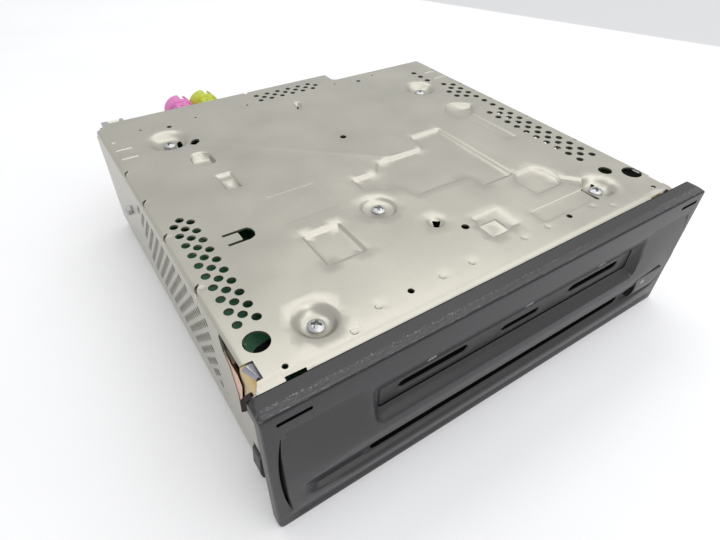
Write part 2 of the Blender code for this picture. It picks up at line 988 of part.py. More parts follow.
def rear_step(name, side_x, front_y, low):
    reach = body_half_width + overrun
    return box(name, (side_x, front_y, low), (reach, lid_rear + overrun, lid_top + overrun))


def build_lid():
    lid = channel(
        "top_cover",
        body_half_width,
        body_front,
        lid_rear,
        lid_flange_bottom,
        lid_top,
        sheet,
        lid_fold,
        -1,
    )
    half = sheet / 2
    bosses = [
        prism(f"pad_{name}", "z", [lid_point(*point) for point in points], pad_under, lid_under + half)
        for name, points in pad_shares.items()
    ]
    pockets = [
        prism(
            f"pad_pocket_{name}",
            "z",
            inset([lid_point(*point) for point in points], sheet),
            lid_top - pad_depth,
            lid_top + overrun,
        )
        for name, points in pad_shares.items()
    ]
    for name, (x_share, y_share, radius) in screw_places.items():
        centre = lid_point(x_share, y_share)
        floor_radius = radius - dish_depth / 2
        bosses.append(
            rod(f"dish_{name}", "z", centre, dish_floor - sheet, lid_under + half, floor_radius, radius, 16)
        )
        pockets.append(
            rod(
                f"dish_pocket_{name}",
                "z",
                centre,
                dish_floor,
                lid_top + dish_depth,
                floor_radius - sheet,
                floor_radius - sheet + dish_depth,
                16,
            )
        )
        pockets.append(
            rod(
                f"screw_hole_{name}",
                "z",
                centre,
                dish_floor - overrun,
                dish_floor + seam,
                screw_shank_radius + fit_gap,
            )
        )
    join(lid, *bosses)
    cut(lid, *pockets)
    low, high = lid_under - seam, lid_top + overrun
    columns, rows = vent_centres()
    field = [rods("vents", "z", columns, low, high, vent_radius)]
    field.append(rods("rear_vents", "z", rows, low, high, rear_vent_radius))
    sized = (
        (large_hole_shares, large_hole_radius, 16),
        (medium_hole_shares, medium_hole_radius, 12),
        (small_hole_shares, small_hole_radius, 8),
        (pin_hole_shares, pin_hole_radius, 6),
    )
    for number, (shares, radius, sides) in enumerate(sized):
        centres = [lid_point(*share) for share in shares]
        field.append(rods(f"holes_{number}", "z", centres, low, high, radius, sides))
    cut(lid, *field)
    reach = body_half_width + overrun
    cut(
        lid,
        rods("side_vents", "x", side_vent_centres(), -reach, reach, side_vent_radius, 6),
        through_sides("lid_window", [side_point(*point) for point in window_shares]),
        stud_hole("lid_stud_hole"),
        *catch_slots("lid_catch_slot", lid_flange_bottom - overrun),
    )
    cut(
        lid,
        rear_step("lid_step", rear_step_x, step_rear, -overrun),
        prism(
            "lid_corner",
            "z",
            [
                (-reach, lid_rear - corner_cut * 4 / 3),
                (-body_half_width, lid_rear - corner_cut * 4 / 3),
                (-body_half_width + corner_cut, lid_rear + overrun),
                (-reach, lid_rear + overrun),
            ],
            lid_top - corner_cut_drop,
            lid_top + overrun,
        ),
        tab_notch(),
        *tongue_slots(),
        *front_notches(),
    )
    place(lid, "steel_sheet")


def inset(outline, distance):
    """The outline drawn in by a distance on every side."""
    moved = []
    count = len(outline)
    for number in range(count):
        before, here, after = (Vector(outline[(number + step) % count]) for step in (-1, 0, 1))
        first = (here - before).normalized()
        second = (after - here).normalized()
        normals = Vector((-first.y, first.x)), Vector((-second.y, second.x))
        middle = (normals[0] + normals[1]).normalized()
        moved.append(here + middle * distance / middle.dot(normals[0]))
    return [(point.x, point.y) for point in moved]


def tab_notch():
    low, high = (share * lid_rear for share in tab_notch_shares)
    reach = body_half_width + overrun
    return box(
        "tab_notch",
        (-reach, low, lid_top - lid_fold * 2),
        (-body_half_width + tab_notch_width, high, lid_top + overrun),
    )


def tongue_slots():
    """The two slots and the open end that free the tongue pressed in the lid."""
    left, neck, right = (share * body_half_width for share in tongue_shares)
    low, high = (share * lid_rear for share in tongue_side_shares)
    floor, roof = lid_under - seam, lid_top + overrun
    return (
        box("tongue_slot_low", (left, low, floor), (neck + seam, low + tongue_slot_width, roof)),
        box("tongue_slot_high", (left, high - tongue_slot_width, floor), (neck + seam, high, roof)),
        box("tongue_end", (neck, low, floor), (right, high, roof)),
    )


def front_notches():
    """Notches in the lid's front edge, one near each corner."""
    middle = body_half_width - tab_notch_width * 2 - hinge_notch_width / 2
    return [
        box(
            f"front_notch_{side}",
            (side * middle - hinge_notch_width / 2, body_front - overrun, lid_under - seam),
            (side * middle + hinge_notch_width / 2, body_front + hinge_notch_depth, lid_top + overrun),
        )
        for side in (-1, 1)
    ]


def build_tray():
    tray = channel(
        "chassis_tray",
        tray_half_width,
        body_front,
        panel_outer,
        tray_bottom,
        tray_wall_top,
        tray_sheet,
        tray_fold,
        1,
    )
    feet = [
        rod(
            f"foot_{side}_{number}",
            "z",
            (side * frame_leg_x, along),
            0,
            tray_bottom + tray_sheet / 2,
            foot_radius - tray_bottom / 2,
            foot_radius,
        )
        for side in (-1, 1)
        for number, along in enumerate((damper_front_y, damper_rear_y))
    ]
    posts = [
        rod(
            f"damper_post_{number}",
            "z",
            centre,
            tray_bottom + tray_sheet / 2,
            tray_floor + damper_post_height,
            damper_post_radius,
        )
        for number, centre in enumerate(damper_places().values())
    ]
    join(tray, *feet, *posts)
    vent_front = spring_pivot + spring_neck - spring_root_high
    first_y = side_point(*side_vent_shares)[0]
    vent_rear = first_y + vent_pitch * side_vent_columns + vent_radius
    cut(
        tray,
        box(
            "tray_side_cut",
            (-body_half_width, vent_front, tray_middle_wall_top),
            (body_half_width, vent_rear, tray_wall_top + overrun),
        ),
        through_sides("tray_window", [side_point(*point) for point in window_shares]),
        stud_hole("tray_stud_hole"),
        rear_step("tray_step", rear_step_x - fit_gap, step_rear - fit_gap, -overrun),
        *catch_slots("tray_catch_slot", -overrun),
    )
    place(tray, "steel_sheet")


def damper_places():
    return {
        "front_left": (-damper_x, damper_front_y),
        "front_right": (damper_x, damper_front_y),
        "rear_left": (-damper_x, damper_rear_y),
        "rear_right": (damper_x, damper_rear_y),
    }


def coax_places():
    return {"pink": coax_centre_x - coax_pitch / 2, "lime": coax_centre_x + coax_pitch / 2}


def build_rear_panel():
    step_x = rear_step_x - fit_gap
    step_outer = step_rear - fit_gap
    outline = [
        (-rear_panel_half_width, panel_inner),
        (step_x - sheet, panel_inner),
        (step_x - sheet, step_outer - sheet),
        (rear_panel_half_width, step_outer - sheet),
        (rear_panel_half_width, step_outer),
        (step_x, step_outer),
        (step_x, panel_outer),
        (-rear_panel_half_width, panel_outer),
    ]
    panel = prism("rear_panel", "z", outline, tray_floor + tray_fold / 2, lid_under - panel_top_gap)
    holes = [
        rod(
            f"coax_hole_{name}",
            "y",
            (middle, coax_height),
            panel_inner - overrun,
            panel_outer + overrun,
            coax_stub_radius + seam,
        )
        for name, middle in coax_places().items()
    ]
    holes.append(
        box(
            "data_hole",
            (data_left - fit_gap, panel_inner - overrun, data_low - fit_gap),
            (data_right + fit_gap, panel_outer + overrun, data_high + fit_gap),
        )
    )
    holes.append(
        box(
            "power_hole",
            (power_left - fit_gap, step_outer - sheet - overrun, power_low - fit_gap),
            (power_right + fit_gap, step_outer + overrun, power_high + fit_gap),
        )
    )
    cut(panel, *holes)
    place(panel, "steel_sheet")


def build_lid_screws():
    head_low = dish_floor + fit_gap
    head_high = head_low + screw_head_height
    for name, (x_share, y_share, _) in screw_places.items():
        centre = lid_point(x_share, y_share)
        profile = [
            (0, head_high),
            (screw_head_radius * 0.6, head_high - seam / 4),
            (screw_head_radius, head_high - screw_head_height / 2),
            (screw_head_radius, head_low),
            (screw_shank_radius, head_low),
            (screw_shank_radius, head_low - screw_length),
            (0, head_low - screw_length),
        ]
        screw = turned(f"lid_screw_{name}", "z", centre, profile, round_sides)
        reach = screw_head_radius * 0.6
        thin = screw_cross_width / 2
        low, high = head_high - screw_cross_depth, head_high + overrun
        across, along = centre
        cut(
            screw,
            box(
                f"cross_a_{name}",
                (across - reach, along - thin, low),
                (across + reach, along + thin, high),
            ),
            box(
                f"cross_b_{name}",
                (across - thin, along - reach, low),
                (across + thin, along + reach, high),
            ),
        )
        place(screw, "bright_steel")


def build_studs():
    seat = body_half_width + fit_gap
    profile = [
        (0, seat + stud_head),
        (stud_radius * 0.55, seat + stud_head * 0.92),
        (stud_radius, seat + stud_head * 0.6),
        (stud_radius, seat),
        (stud_shank_radius, seat),
        (stud_shank_radius, seat - stud_grip),
        (0, seat - stud_grip),
    ]
    for name, side in (("left", -1), ("right", 1)):
        stud = turned(f"stud_{name}", "x", side_point(*stud_shares), profile, round_sides)
        if side < 0:
            stud.matrix_basis = stud.matrix_basis @ Matrix.Rotation(math.pi, 4, "X")
        place(stud, "bright_steel")


def build_locks():
    for name, side in (("left", -1), ("right", 1)):
        inner, outer = sorted((side * spring_face, side * (spring_face - spring_thickness)))
        outline = [
            (spring_pivot + spring_tail, spring_root_low),
            (spring_pivot + spring_tail, spring_root_high),
            (spring_neck, spring_top),
            (spring_front, spring_top),
            (spring_front, spring_low),
            (catch_front + catch_length, spring_low),
            (spring_neck, spring_root_low),
        ]
        leaf = prism(f"lock_spring_{name}", "x", outline, inner, outer)
        place(leaf, "spring_bronze")
        tip = body_half_width + fit_gap
        catch = prism(
            f"lock_catch_{name}",
            "y",
            mirrored(
                [
                    (spring_face + fit_gap, catch_top),
                    (body_half_width + catch_reach, catch_top),
                    (tip + catch_tip, catch_foot),
                    (tip, catch_foot),
                    (tip, catch_web_low),
                    (spring_face + fit_gap, catch_web_low),
                ],
                side,
            ),
            catch_front,
            catch_front + catch_length,
        )
        place(catch, "black_plastic")


# Disc drive
def build_drive_base():
    base = channel(
        "drive_base",
        drive_half_width,
        drive_front,
        drive_rear,
        drive_bottom,
        drive_wall_top,
        drive_sheet,
        drive_fold,
        1,
    )
    reach = drive_half_width + overrun
    sled_rear = sled_front + sled_length + sled_travel
    tab_rows = (sled_front - sled_window_margin - rod_tab_depth, sled_rear + sled_window_margin)
    tabs = []
    for number, along in enumerate(tab_rows):
        for side in (-1, 1):
            tabs.append(
                box(
                    f"rod_tab_{side}_{number}",
                    (side * rod_x - rod_tab_half_width, along, rod_tab_bottom),
                    (side * rod_x + rod_tab_half_width, along + rod_tab_depth, drive_bottom + seam),
                )
            )
    tabs.append(
        box(
            "screw_tab",
            (screw_x - rod_tab_half_width, tab_rows[0], rod_tab_bottom),
            (screw_x + rod_tab_half_width, tab_rows[0] + rod_tab_depth, drive_bottom + seam),
        )
    )
    idler_y, idler_z = idler_place()
    tabs.append(
        rod(
            "idler_pin",
            "x",
            (idler_y, idler_z),
            drive_half_width - seam,
            gear_high + gear_inset,
            shaft_radius,
        )
    )
    join(base, *tabs)
    pinion_y, pinion_z = pinion_place()
    motor_margin = loading_motor_radius + fit_gap
    screw_gap = sled_motor_radius + fit_gap
    motor_low = screw_motor_front() - fit_gap
    cut(
        base,
        rod("boss_hole", "z", (0, spindle_y), tray_bottom, disc_height, spindle_boss_radius + fit_gap),
        box(
            "sled_window",
            (-sled_half_width - sled_window_margin, sled_front - sled_window_margin, drive_bottom - seam),
            (sled_half_width + sled_window_margin, sled_rear + sled_window_margin, disc_height),
        ),
        box(
            "roller_window",
            (-roller_half_length - seam, roller_y - roller_radius - seam, drive_bottom - overrun),
            (roller_half_length + seam, roller_y + roller_radius + seam, drive_floor + seam),
        ),
        box(
            "loading_motor_window",
            (loading_motor_low() - fit_gap, pinion_y - motor_margin, drive_bottom - overrun),
            (drive_half_width - drive_sheet - fit_gap, pinion_y + motor_margin, drive_floor + seam),
        ),
        box(
            "sled_motor_window",
            (screw_x - screw_gap, motor_low, drive_bottom - overrun),
            (screw_x + screw_gap, motor_low + sled_motor_length + fit_gap * 2, drive_floor + seam),
        ),
        rod("roller_holes", "x", (roller_y, roller_z), -reach, reach, shaft_radius + fit_gap),
        rod("clamp_holes", "x", (clamp_pivot_y, clamp_pivot_z), -reach, reach, shaft_radius + fit_gap),
        rod(
            "pinion_hole",
            "x",
            (pinion_y, pinion_z),
            drive_half_width - overrun,
            reach,
            pinion_shaft_radius + fit_gap,
        ),
        *[
            rod(
                f"rod_hole_{side}",
                "y",
                (side * rod_x, rod_z),
                tab_rows[0] - overrun,
                tab_rows[1] + overrun + rod_tab_depth,
                rod_radius + fit_gap,
            )
            for side in (-1, 1)
        ],
        rod(
            "screw_hole",
            "y",
            (screw_x, screw_z),
            tab_rows[0] - overrun,
            tab_rows[0] + rod_tab_depth + overrun,
            screw_radius + fit_gap,
        ),
    )
    place(base, "steel_sheet")


def build_drive_cover():
    low = drive_wall_top + fit_gap
    cover = box(
        "drive_cover",
        (-drive_half_width, drive_front, low),
        (drive_half_width, drive_rear, low + drive_sheet),
    )
    cut(
        cover,
        box(
            "cover_window",
            (-cover_window_half_width, cover_window_front, low - overrun),
            (cover_window_half_width, cover_window_rear, low + overrun),
        ),
        rod("cover_hole", "z", (0, spindle_y), low - overrun, low + overrun, turntable_radius, None, 20),
    )
    place(cover, "steel_sheet")


def build_dampers():
    low = tray_floor + damper_post_height + fit_gap
    high = drive_bottom - fit_gap
    third = (high - low) / 3
    profile = [
        (damper_radius, high),
        (damper_radius, high - third),
        (damper_waist, high - third),
        (damper_waist, low + third),
        (damper_radius, low + third),
        (damper_radius, low),
        (damper_bore, low),
        (damper_bore, high),
    ]
    for name, centre in damper_places().items():
        place(turned(f"damper_{name}", "z", centre, profile, round_sides), "rubber")


def pitch_radius(teeth):
    return gear_module * teeth / 2


def idler_place():
    gap = pitch_radius(roller_teeth) + pitch_radius(idler_teeth) + gear_backlash
    return roller_y + gap, roller_z


def pinion_place():
    idler_y, idler_z = idler_place()
    gap = pitch_radius(idler_teeth) + pitch_radius(pinion_teeth) + gear_backlash
    return idler_y + math.sqrt(gap**2 - pinion_drop**2), idler_z - pinion_drop


def meshing_phase(phase, teeth, next_teeth, direction):
    """The angle of a tooth on the next gear that puts its gap on this gear's tooth."""
    offset = phase - direction
    return direction + math.pi - offset * teeth / next_teeth + math.pi / next_teeth


def gear_outline(centre, teeth, phase):
    root = pitch_radius(teeth) - gear_module * 1.2
    tip = pitch_radius(teeth) + gear_module * 0.8
    points = []
    for number in range(teeth):
        middle = phase + math.tau * number / teeth
        for radius, share in ((root, -0.26), (tip, -0.11), (tip, 0.11), (root, 0.26)):
            angle = middle + math.tau * share / teeth
            points.append((centre[0] + radius * math.cos(angle), centre[1] + radius * math.sin(angle)))
    return points


def build_gears():
    idler = idler_place()
    pinion = pinion_place()
    towards_pinion = math.atan2(pinion[1] - idler[1], pinion[0] - idler[0])
    idler_phase = meshing_phase(0, roller_teeth, idler_teeth, 0)
    pinion_phase = meshing_phase(idler_phase, idler_teeth, pinion_teeth, towards_pinion)
    roller_gear = prism(
        "roller_gear", "x", gear_outline((roller_y, roller_z), roller_teeth, 0), gear_low, gear_high
    )
    cut(
        roller_gear,
        rod(
            "roller_gear_bore",
            "x",
            (roller_y, roller_z),
            gear_low - overrun,
            gear_high + overrun,
            shaft_radius + fit_gap,
        ),
    )
    place(roller_gear, "white_plastic")
    idler_gear = prism(
        "idler_gear", "x", gear_outline(idler, idler_teeth, idler_phase), gear_low, gear_high
    )
    cut(
        idler_gear,
        rod("idler_bore", "x", idler, gear_low - overrun, gear_high + overrun, shaft_radius + fit_gap),
    )
    place(idler_gear, "white_plastic")
    pinion_gear = prism(
        "motor_pinion", "x", gear_outline(pinion, pinion_teeth, pinion_phase), gear_low, gear_high
    )
    join(
        pinion_gear,
        rod(
            "pinion_shaft",
            "x",
            pinion,
            drive_half_width - loading_motor_length / 2,
            gear_low + seam,
            pinion_shaft_radius,
        ),
    )
    place(pinion_gear, "white_plastic")


def loading_motor_low():
    return drive_half_width - drive_sheet - fit_gap - seam - loading_motor_length


def build_loading_motor():
    low = loading_motor_low()
    high = low + loading_motor_length
    bore = pinion_shaft_radius + fit_gap
    profile = [
        (loading_motor_radius, high),
        (loading_motor_radius, low),
        (bore, low),
        (bore, high),
    ]
    place(turned("loading_motor", "x", pinion_place(), profile, round_sides), "bright_steel")


def build_roller():
    bore = shaft_radius + fit_gap
    half = roller_half_length
    profile = [
        (roller_radius, half),
        (roller_waist, half / 2),
        (roller_waist, -half / 2),
        (roller_radius, -half),
        (bore, -half),
        (bore, half),
    ]
    place(turned("feed_roller", "x", (roller_y, roller_z), profile, round_sides), "rubber")
    reach = gear_high + gear_inset / 2
    place(
        rod("roller_shaft", "x", (roller_y, roller_z), -drive_half_width - gear_inset, reach, shaft_radius),
        "bright_steel",
    )


def build_spindle():
    can_high = drive_bottom - fit_gap
    can_low = can_high - spindle_motor_height
    boss_high = can_high + spindle_boss_height
    bore = spindle_shaft_radius + fit_gap
    motor_profile = [
        (spindle_boss_radius, boss_high),
        (spindle_boss_radius, can_high),
        (spindle_motor_radius, can_high),
        (spindle_motor_radius, can_low),
        (bore, can_low),
        (bore, boss_high),
    ]
    place(turned("spindle_motor", "z", (0, spindle_y), motor_profile), "bright_steel")
    table_low = turntable_top - turntable_thickness
    table_profile = [
        (0, turntable_top + hub_height),
        (hub_radius - hub_taper, turntable_top + hub_height),
        (hub_radius, turntable_top),
        (turntable_radius, turntable_top),
        (turntable_radius, table_low),
        (spindle_shaft_radius, table_low),
        (spindle_shaft_radius, can_low),
        (0, can_low),
    ]
    place(turned("turntable", "z", (0, spindle_y), table_profile), "black_plastic")


def build_clamp():
    low = clamp_pivot_z - clamp_arm_thickness / 2
    high = clamp_pivot_z + clamp_arm_thickness / 2
    arm = box(
        "clamp_arm",
        (-clamp_arm_half_width, clamp_arm_front, low),
        (clamp_arm_half_width, clamp_pivot_y, high),
    )
    reach = drive_half_width + gear_inset / 2
    join(arm, rod("clamp_shaft", "x", (clamp_pivot_y, clamp_pivot_z), -reach, reach, shaft_radius))
    cut(
        arm,
        rod(
            "clamp_hole",
            "z",
            (0, spindle_y),
            low - overrun,
            high + overrun,
            clamp_neck_radius + fit_gap,
            None,
            20,
        ),
    )
    place(arm, "bright_steel")
    flange_high = low - fit_gap
    flange_low = flange_high - clamp_flange
    cap_low = high + fit_gap
    profile = [
        (0, cap_low + clamp_cap),
        (clamp_cap_radius, cap_low + clamp_cap),
        (clamp_cap_radius, cap_low),
        (clamp_neck_radius, cap_low),
        (clamp_neck_radius, flange_high),
        (turntable_radius, flange_high),
        (turntable_radius, flange_low),
        (hub_radius + seam, flange_low),
        (hub_radius + seam, flange_low + clamp_recess_depth),
        (0, flange_low + clamp_recess_depth),
    ]
    place(turned("clamp_disc", "z", (0, spindle_y), profile), "black_plastic")


def screw_motor_front():
    return sled_front + sled_length + sled_travel + sled_window_margin * 2 + rod_tab_depth


def build_sled():
    rear = sled_front + sled_length
    sled = box(
        "pickup_sled", (-sled_half_width, sled_front, sled_bottom), (sled_half_width, rear, sled_top)
    )
    nut_middle = sled_front + sled_length / 2
    join(
        sled,
        box(
            "nut_arm",
            (screw_x - nut_half_width, nut_middle - nut_length / 2, sled_bottom),
            (-sled_half_width + seam, nut_middle + nut_length / 2, nut_top),
        ),
    )
    bores = [
        rod(
            f"sled_bore_{side}",
            "y",
            (side * rod_x, rod_z),
            sled_front - overrun,
            rear + overrun,
            rod_radius + fit_gap,
        )
        for side in (-1, 1)
    ]
    bores.append(
        rod(
            "nut_bore",
            "y",
            (screw_x, screw_z),
            sled_front - overrun,
            rear + overrun,
            screw_radius + fit_gap,
        )
    )
    cut(sled, *bores)
    place(sled, "aluminium", seam)
    lens_low = sled_top + fit_gap
    profile = [
        (0, lens_low + lens_height),
        (lens_radius / 2, lens_low + lens_height * 0.9),
        (lens_radius, lens_low + lens_height / 2),
        (lens_radius, lens_low),
        (0, lens_low),
    ]
    place(
        turned("pickup_lens", "z", (0, sled_front + lens_setback), profile, round_sides), "lens_glass"
    )
    tab_low = sled_front - sled_window_margin - rod_tab_depth
    tab_high = rear + sled_travel + sled_window_margin + rod_tab_depth
    for name, side in (("left", -1), ("right", 1)):
        place(
            rod(
                f"guide_rod_{name}",
                "y",
                (side * rod_x, rod_z),
                tab_low - rod_end,
                tab_high + rod_end,
                rod_radius,
            ),
            "bright_steel",
        )
    motor_low = screw_motor_front()
    place(
        rod(
            "lead_screw",
            "y",
            (screw_x, screw_z),
            tab_low - rod_end,
            motor_low + sled_motor_length / 2,
            screw_radius,
        ),
        "bright_steel",
    )
    bore = screw_radius + fit_gap
    motor_profile = [
        (sled_motor_radius, motor_low + sled_motor_length),
        (sled_motor_radius, motor_low),
        (bore, motor_low),
        (bore, motor_low + sled_motor_length),
    ]
    place(
        turned("sled_motor", "y", (screw_x, screw_z), motor_profile, round_sides), "bright_steel"
    )


# Upper frame and electronics
def build_upper_frame():
    plate_high = frame_plate_z + frame_plate
    frame = box(
        "upper_frame",
        (-frame_half_width, frame_front, frame_plate_z),
        (frame_half_width, frame_rear, plate_high),
    )
    additions = []
    for name, (x_share, y_share, _) in screw_places.items():
        centre = lid_point(x_share, y_share)
        additions.append(
            rod(
                f"collar_{name}",
                "z",
                centre,
                frame_plate_z + seam,
                board_bottom - fit_gap,
                post_collar_radius,
            )
        )
        additions.append(
            rod(f"post_{name}", "z", centre, frame_plate_z + seam, post_top, post_radius)
        )
    half = frame_leg_side / 2
    for side in (-1, 1):
        for number, along in enumerate((frame_leg_front_y, frame_leg_rear_y)):
            additions.append(
                box(
                    f"leg_{side}_{number}",
                    (side * frame_leg_x - half, along - half, tray_floor + fit_gap),
                    (side * frame_leg_x + half, along + half, plate_high - seam),
                )
            )
    join(frame, *additions)
    bores = [
        rod(
            f"post_bore_{name}",
            "z",
            lid_point(x_share, y_share),
            post_top - post_bore_depth,
            post_top + overrun,
            screw_shank_radius + fit_gap,
        )
        for name, (x_share, y_share, _) in screw_places.items()
    ]
    post_x, post_y = lid_point(*screw_places["middle"][:2])
    bridge = post_collar_radius + overrun
    windows = [
        box(
            "frame_window_left",
            (-frame_window_half_width, frame_window_front, frame_plate_z - overrun),
            (post_x - bridge, frame_window_rear, plate_high + overrun),
        ),
        box(
            "frame_window_right",
            (post_x + bridge, frame_window_front, frame_plate_z - overrun),
            (frame_window_half_width, frame_window_rear, plate_high + overrun),
        ),
    ]
    cut(frame, *bores, *windows)
    place(frame, "steel_sheet")


def build_main_board():
    step_x = rear_step_x - fit_gap - sheet - fit_gap
    rear = panel_inner - fit_gap
    step_y = step_rear - fit_gap - sheet - fit_gap
    outline = [
        (-board_front_half_width, board_front),
        (board_front_half_width, board_front),
        (board_front_half_width, board_notch_rear),
        (board_half_width, board_notch_rear),
        (board_half_width, step_y),
        (step_x, step_y),
        (step_x, rear),
        (-board_half_width, rear),
        (-board_half_width, board_notch_rear),
        (-board_front_half_width, board_notch_rear),
    ]
    board = prism("main_board", "z", outline, board_bottom, board_top)
    chips = []
    for name, (x_share, y_share, side) in chip_places.items():
        across, along = lid_point(x_share, y_share)
        chips.append(
            box(
                f"chip_{name}",
                (across - side / 2, along - side / 2, board_top - seam),
                (across + side / 2, along + side / 2, board_top + chip_height),
            )
        )
    for number, share in enumerate(capacitor_shares):
        chips.append(
            rod(
                f"capacitor_{number}",
                "z",
                lid_point(*share),
                board_top - seam,
                board_top + capacitor_height,
                capacitor_radius,
                sides=8,
            )
        )
    join(board, *chips)
    holes = [
        rod(
            f"board_hole_{name}",
            "z",
            lid_point(x_share, y_share),
            board_bottom - overrun,
            board_top + overrun,
            post_radius + fit_gap,
        )
        for name, (x_share, y_share, _) in screw_places.items()
    ]
    data_notch = box(
        "data_notch",
        (-board_half_width - overrun, data_front - fit_gap, board_bottom - overrun),
        (data_right + fit_gap, rear + overrun, board_top + overrun),
    )
    cut(board, *holes, data_notch)
    place(board, "board_green")


def build_heat_spreader():
    across, along = lid_point(*chip_places["processor"][:2])
    low = board_top + chip_height + fit_gap
    half = spreader_half_side
    place(
        box(
            "heat_spreader",
            (across - half, along - half, low),
            (across + half, along + half, pad_under - fit_gap),
        ),
        "aluminium",
        seam,
    )


def build_tuner():
    rear = panel_inner - fit_gap
    low = board_top + fit_gap
    can = box(
        "tuner_can",
        (coax_centre_x - tuner_half_width, rear - tuner_length, low),
        (coax_centre_x + tuner_half_width, rear, low + tuner_height),
    )
    stubs = [
        rod(
            f"coax_stub_{name}",
            "y",
            (middle, coax_height),
            rear - seam,
            lid_rear + coax_stub_reach,
            coax_stub_radius,
        )
        for name, middle in coax_places().items()
    ]
    join(can, *stubs)
    place(can, "bright_steel")
    base = lid_rear + fit_gap
    bore = coax_stub_radius + fit_gap
    profile = [
        (coax_radius, connector_reach),
        (coax_radius, base),
        (bore, base),
        (bore, base + coax_base),
        (coax_bore, base + coax_base),
        (coax_bore, connector_reach),
    ]
    for name, middle in coax_places().items():
        shroud = turned(f"coax_shroud_{name}", "y", (middle, coax_height), profile)
        place(shroud, f"{name}_plastic")


def socket_block(name, low, high, walls, cavity):
    """A connector block with sockets that open to the rear."""
    block = box(name, low, high)
    left, right = low[0] + walls, high[0] - walls
    bottom, top = low[2] + walls, high[2] - walls
    rear = high[1]
    width = right - left
    count = max(1, round(width / (top - bottom)))
    step = (width + walls) / count
    cavities = [
        box(
            f"{name}_cavity_{number}",
            (left + step * number, rear - cavity, bottom),
            (left + step * (number + 1) - walls, rear + overrun, top),
        )
        for number in range(count)
    ]
    cut(block, *cavities)
    return block


def build_rear_connectors():
    data = socket_block(
        "data_connector",
        (data_left, data_front, data_low),
        (data_right, data_rear, data_high),
        data_wall,
        data_cavity,
    )
    place(data, "ivory_plastic")
    power = socket_block(
        "power_connector",
        (power_left, power_front, power_low),
        (power_right, power_rear, power_high),
        power_wall,
        power_cavity,
    )
    place(power, "black_plastic")


def build_card_sockets():
    kinds = (
        ("sd_left", -card_slot_offset, card_slot_low, card_slot_high, socket_length, card_width, card_travel),
        ("sd_right", card_slot_offset, card_slot_low, card_slot_high, socket_length, card_width, card_travel),
        ("sim", 0, small_slot_low, small_slot_high, small_socket_length, small_card_width, small_card_travel),
    )
    heights = {"sim": small_cavity_height}
    for name, middle, slot_low, slot_high, length, width, travel in kinds:
        cavity = heights.get(name, card_cavity_height)
        cavity_low = (slot_low + slot_high - cavity) / 2
        half = width / 2
        rear = socket_front + length
        socket = box(
            f"{name}_socket",
            (middle - half - socket_wall * 2, socket_front, cavity_low - socket_wall),
            (middle + half + socket_wall * 2, rear, board_bottom - fit_gap),
        )
        cut(
            socket,
            box(
                f"{name}_cavity",
                (middle - half, socket_front - overrun, cavity_low),
                (middle + half, rear - socket_wall, cavity_low + cavity),
            ),
        )
        place(socket, "bright_steel")
        stop = rear - socket_wall - slider_stop - travel
        place(
            box(
                f"{name}_slider",
                (middle + half - slider_width - fit_gap, stop - slider_length, cavity_low + fit_gap),
                (middle + half - fit_gap, stop, cavity_low + cavity - fit_gap),
            ),
            "black_plastic",
        )


build_front()
build_card_plate()
build_eject()
build_felts()
build_lid()
build_tray()
build_rear_panel()
build_lid_screws()
build_studs()
build_locks()
build_drive_base()
build_drive_cover()
build_dampers()
build_gears()
build_loading_motor()
build_roller()
build_spindle()
build_clamp()
build_sled()
build_upper_frame()
build_main_board()
build_heat_spreader()
build_tuner()
build_rear_connectors()
build_card_sockets()
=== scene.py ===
"""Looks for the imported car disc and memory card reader: finishes, detailed meshes, floor, light and camera.

Lengths are in metres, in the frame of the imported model: x to the right, y from the front to the rear, z up.
Tables, outlines and textures are in millimetres, with y measured back from the plane of the front.
"""

import json
import math

import bmesh
import bpy
import numpy as np
from mathutils import Matrix, Vector
from mathutils.geometry import delaunay_2d_cdt


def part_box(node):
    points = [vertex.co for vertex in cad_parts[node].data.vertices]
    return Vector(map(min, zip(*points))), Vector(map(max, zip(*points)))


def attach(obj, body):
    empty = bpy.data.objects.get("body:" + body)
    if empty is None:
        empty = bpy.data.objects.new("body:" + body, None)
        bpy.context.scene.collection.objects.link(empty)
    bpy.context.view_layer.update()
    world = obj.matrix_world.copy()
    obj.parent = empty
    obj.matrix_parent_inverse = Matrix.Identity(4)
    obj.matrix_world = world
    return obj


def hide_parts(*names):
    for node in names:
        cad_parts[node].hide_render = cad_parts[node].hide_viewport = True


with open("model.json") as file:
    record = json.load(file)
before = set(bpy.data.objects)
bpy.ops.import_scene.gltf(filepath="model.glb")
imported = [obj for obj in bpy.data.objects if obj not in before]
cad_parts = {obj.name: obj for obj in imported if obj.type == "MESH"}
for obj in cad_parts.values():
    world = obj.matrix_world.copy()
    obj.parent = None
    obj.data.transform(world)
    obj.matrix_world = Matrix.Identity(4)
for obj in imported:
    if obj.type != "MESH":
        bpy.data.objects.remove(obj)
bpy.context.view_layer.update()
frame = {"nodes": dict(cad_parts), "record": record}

mm = 0.001
crease_bulge = 2.2 * mm
bezel_low, bezel_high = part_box("bezel")
lid_low, lid_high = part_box("top_cover")
front_y = bezel_low.y + crease_bulge


def from_front(y):
    """A depth back from the front plane, as a y of the model."""
    return y * mm + front_y


def unit_place(x, y, z):
    """A place in millimetres, as a place in the model."""
    return x * mm, from_front(y), z * mm


def add_object(name, data):
    obj = bpy.data.objects.new(name, data)
    bpy.context.scene.collection.objects.link(obj)
    return obj


def belong(piece, body, slot_name, *nodes):
    """The piece rides on a body and stands for the nodes that are given, which are hidden; the slot name is
    not used.
    """
    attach(piece, body)
    if nodes:
        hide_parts(*nodes)


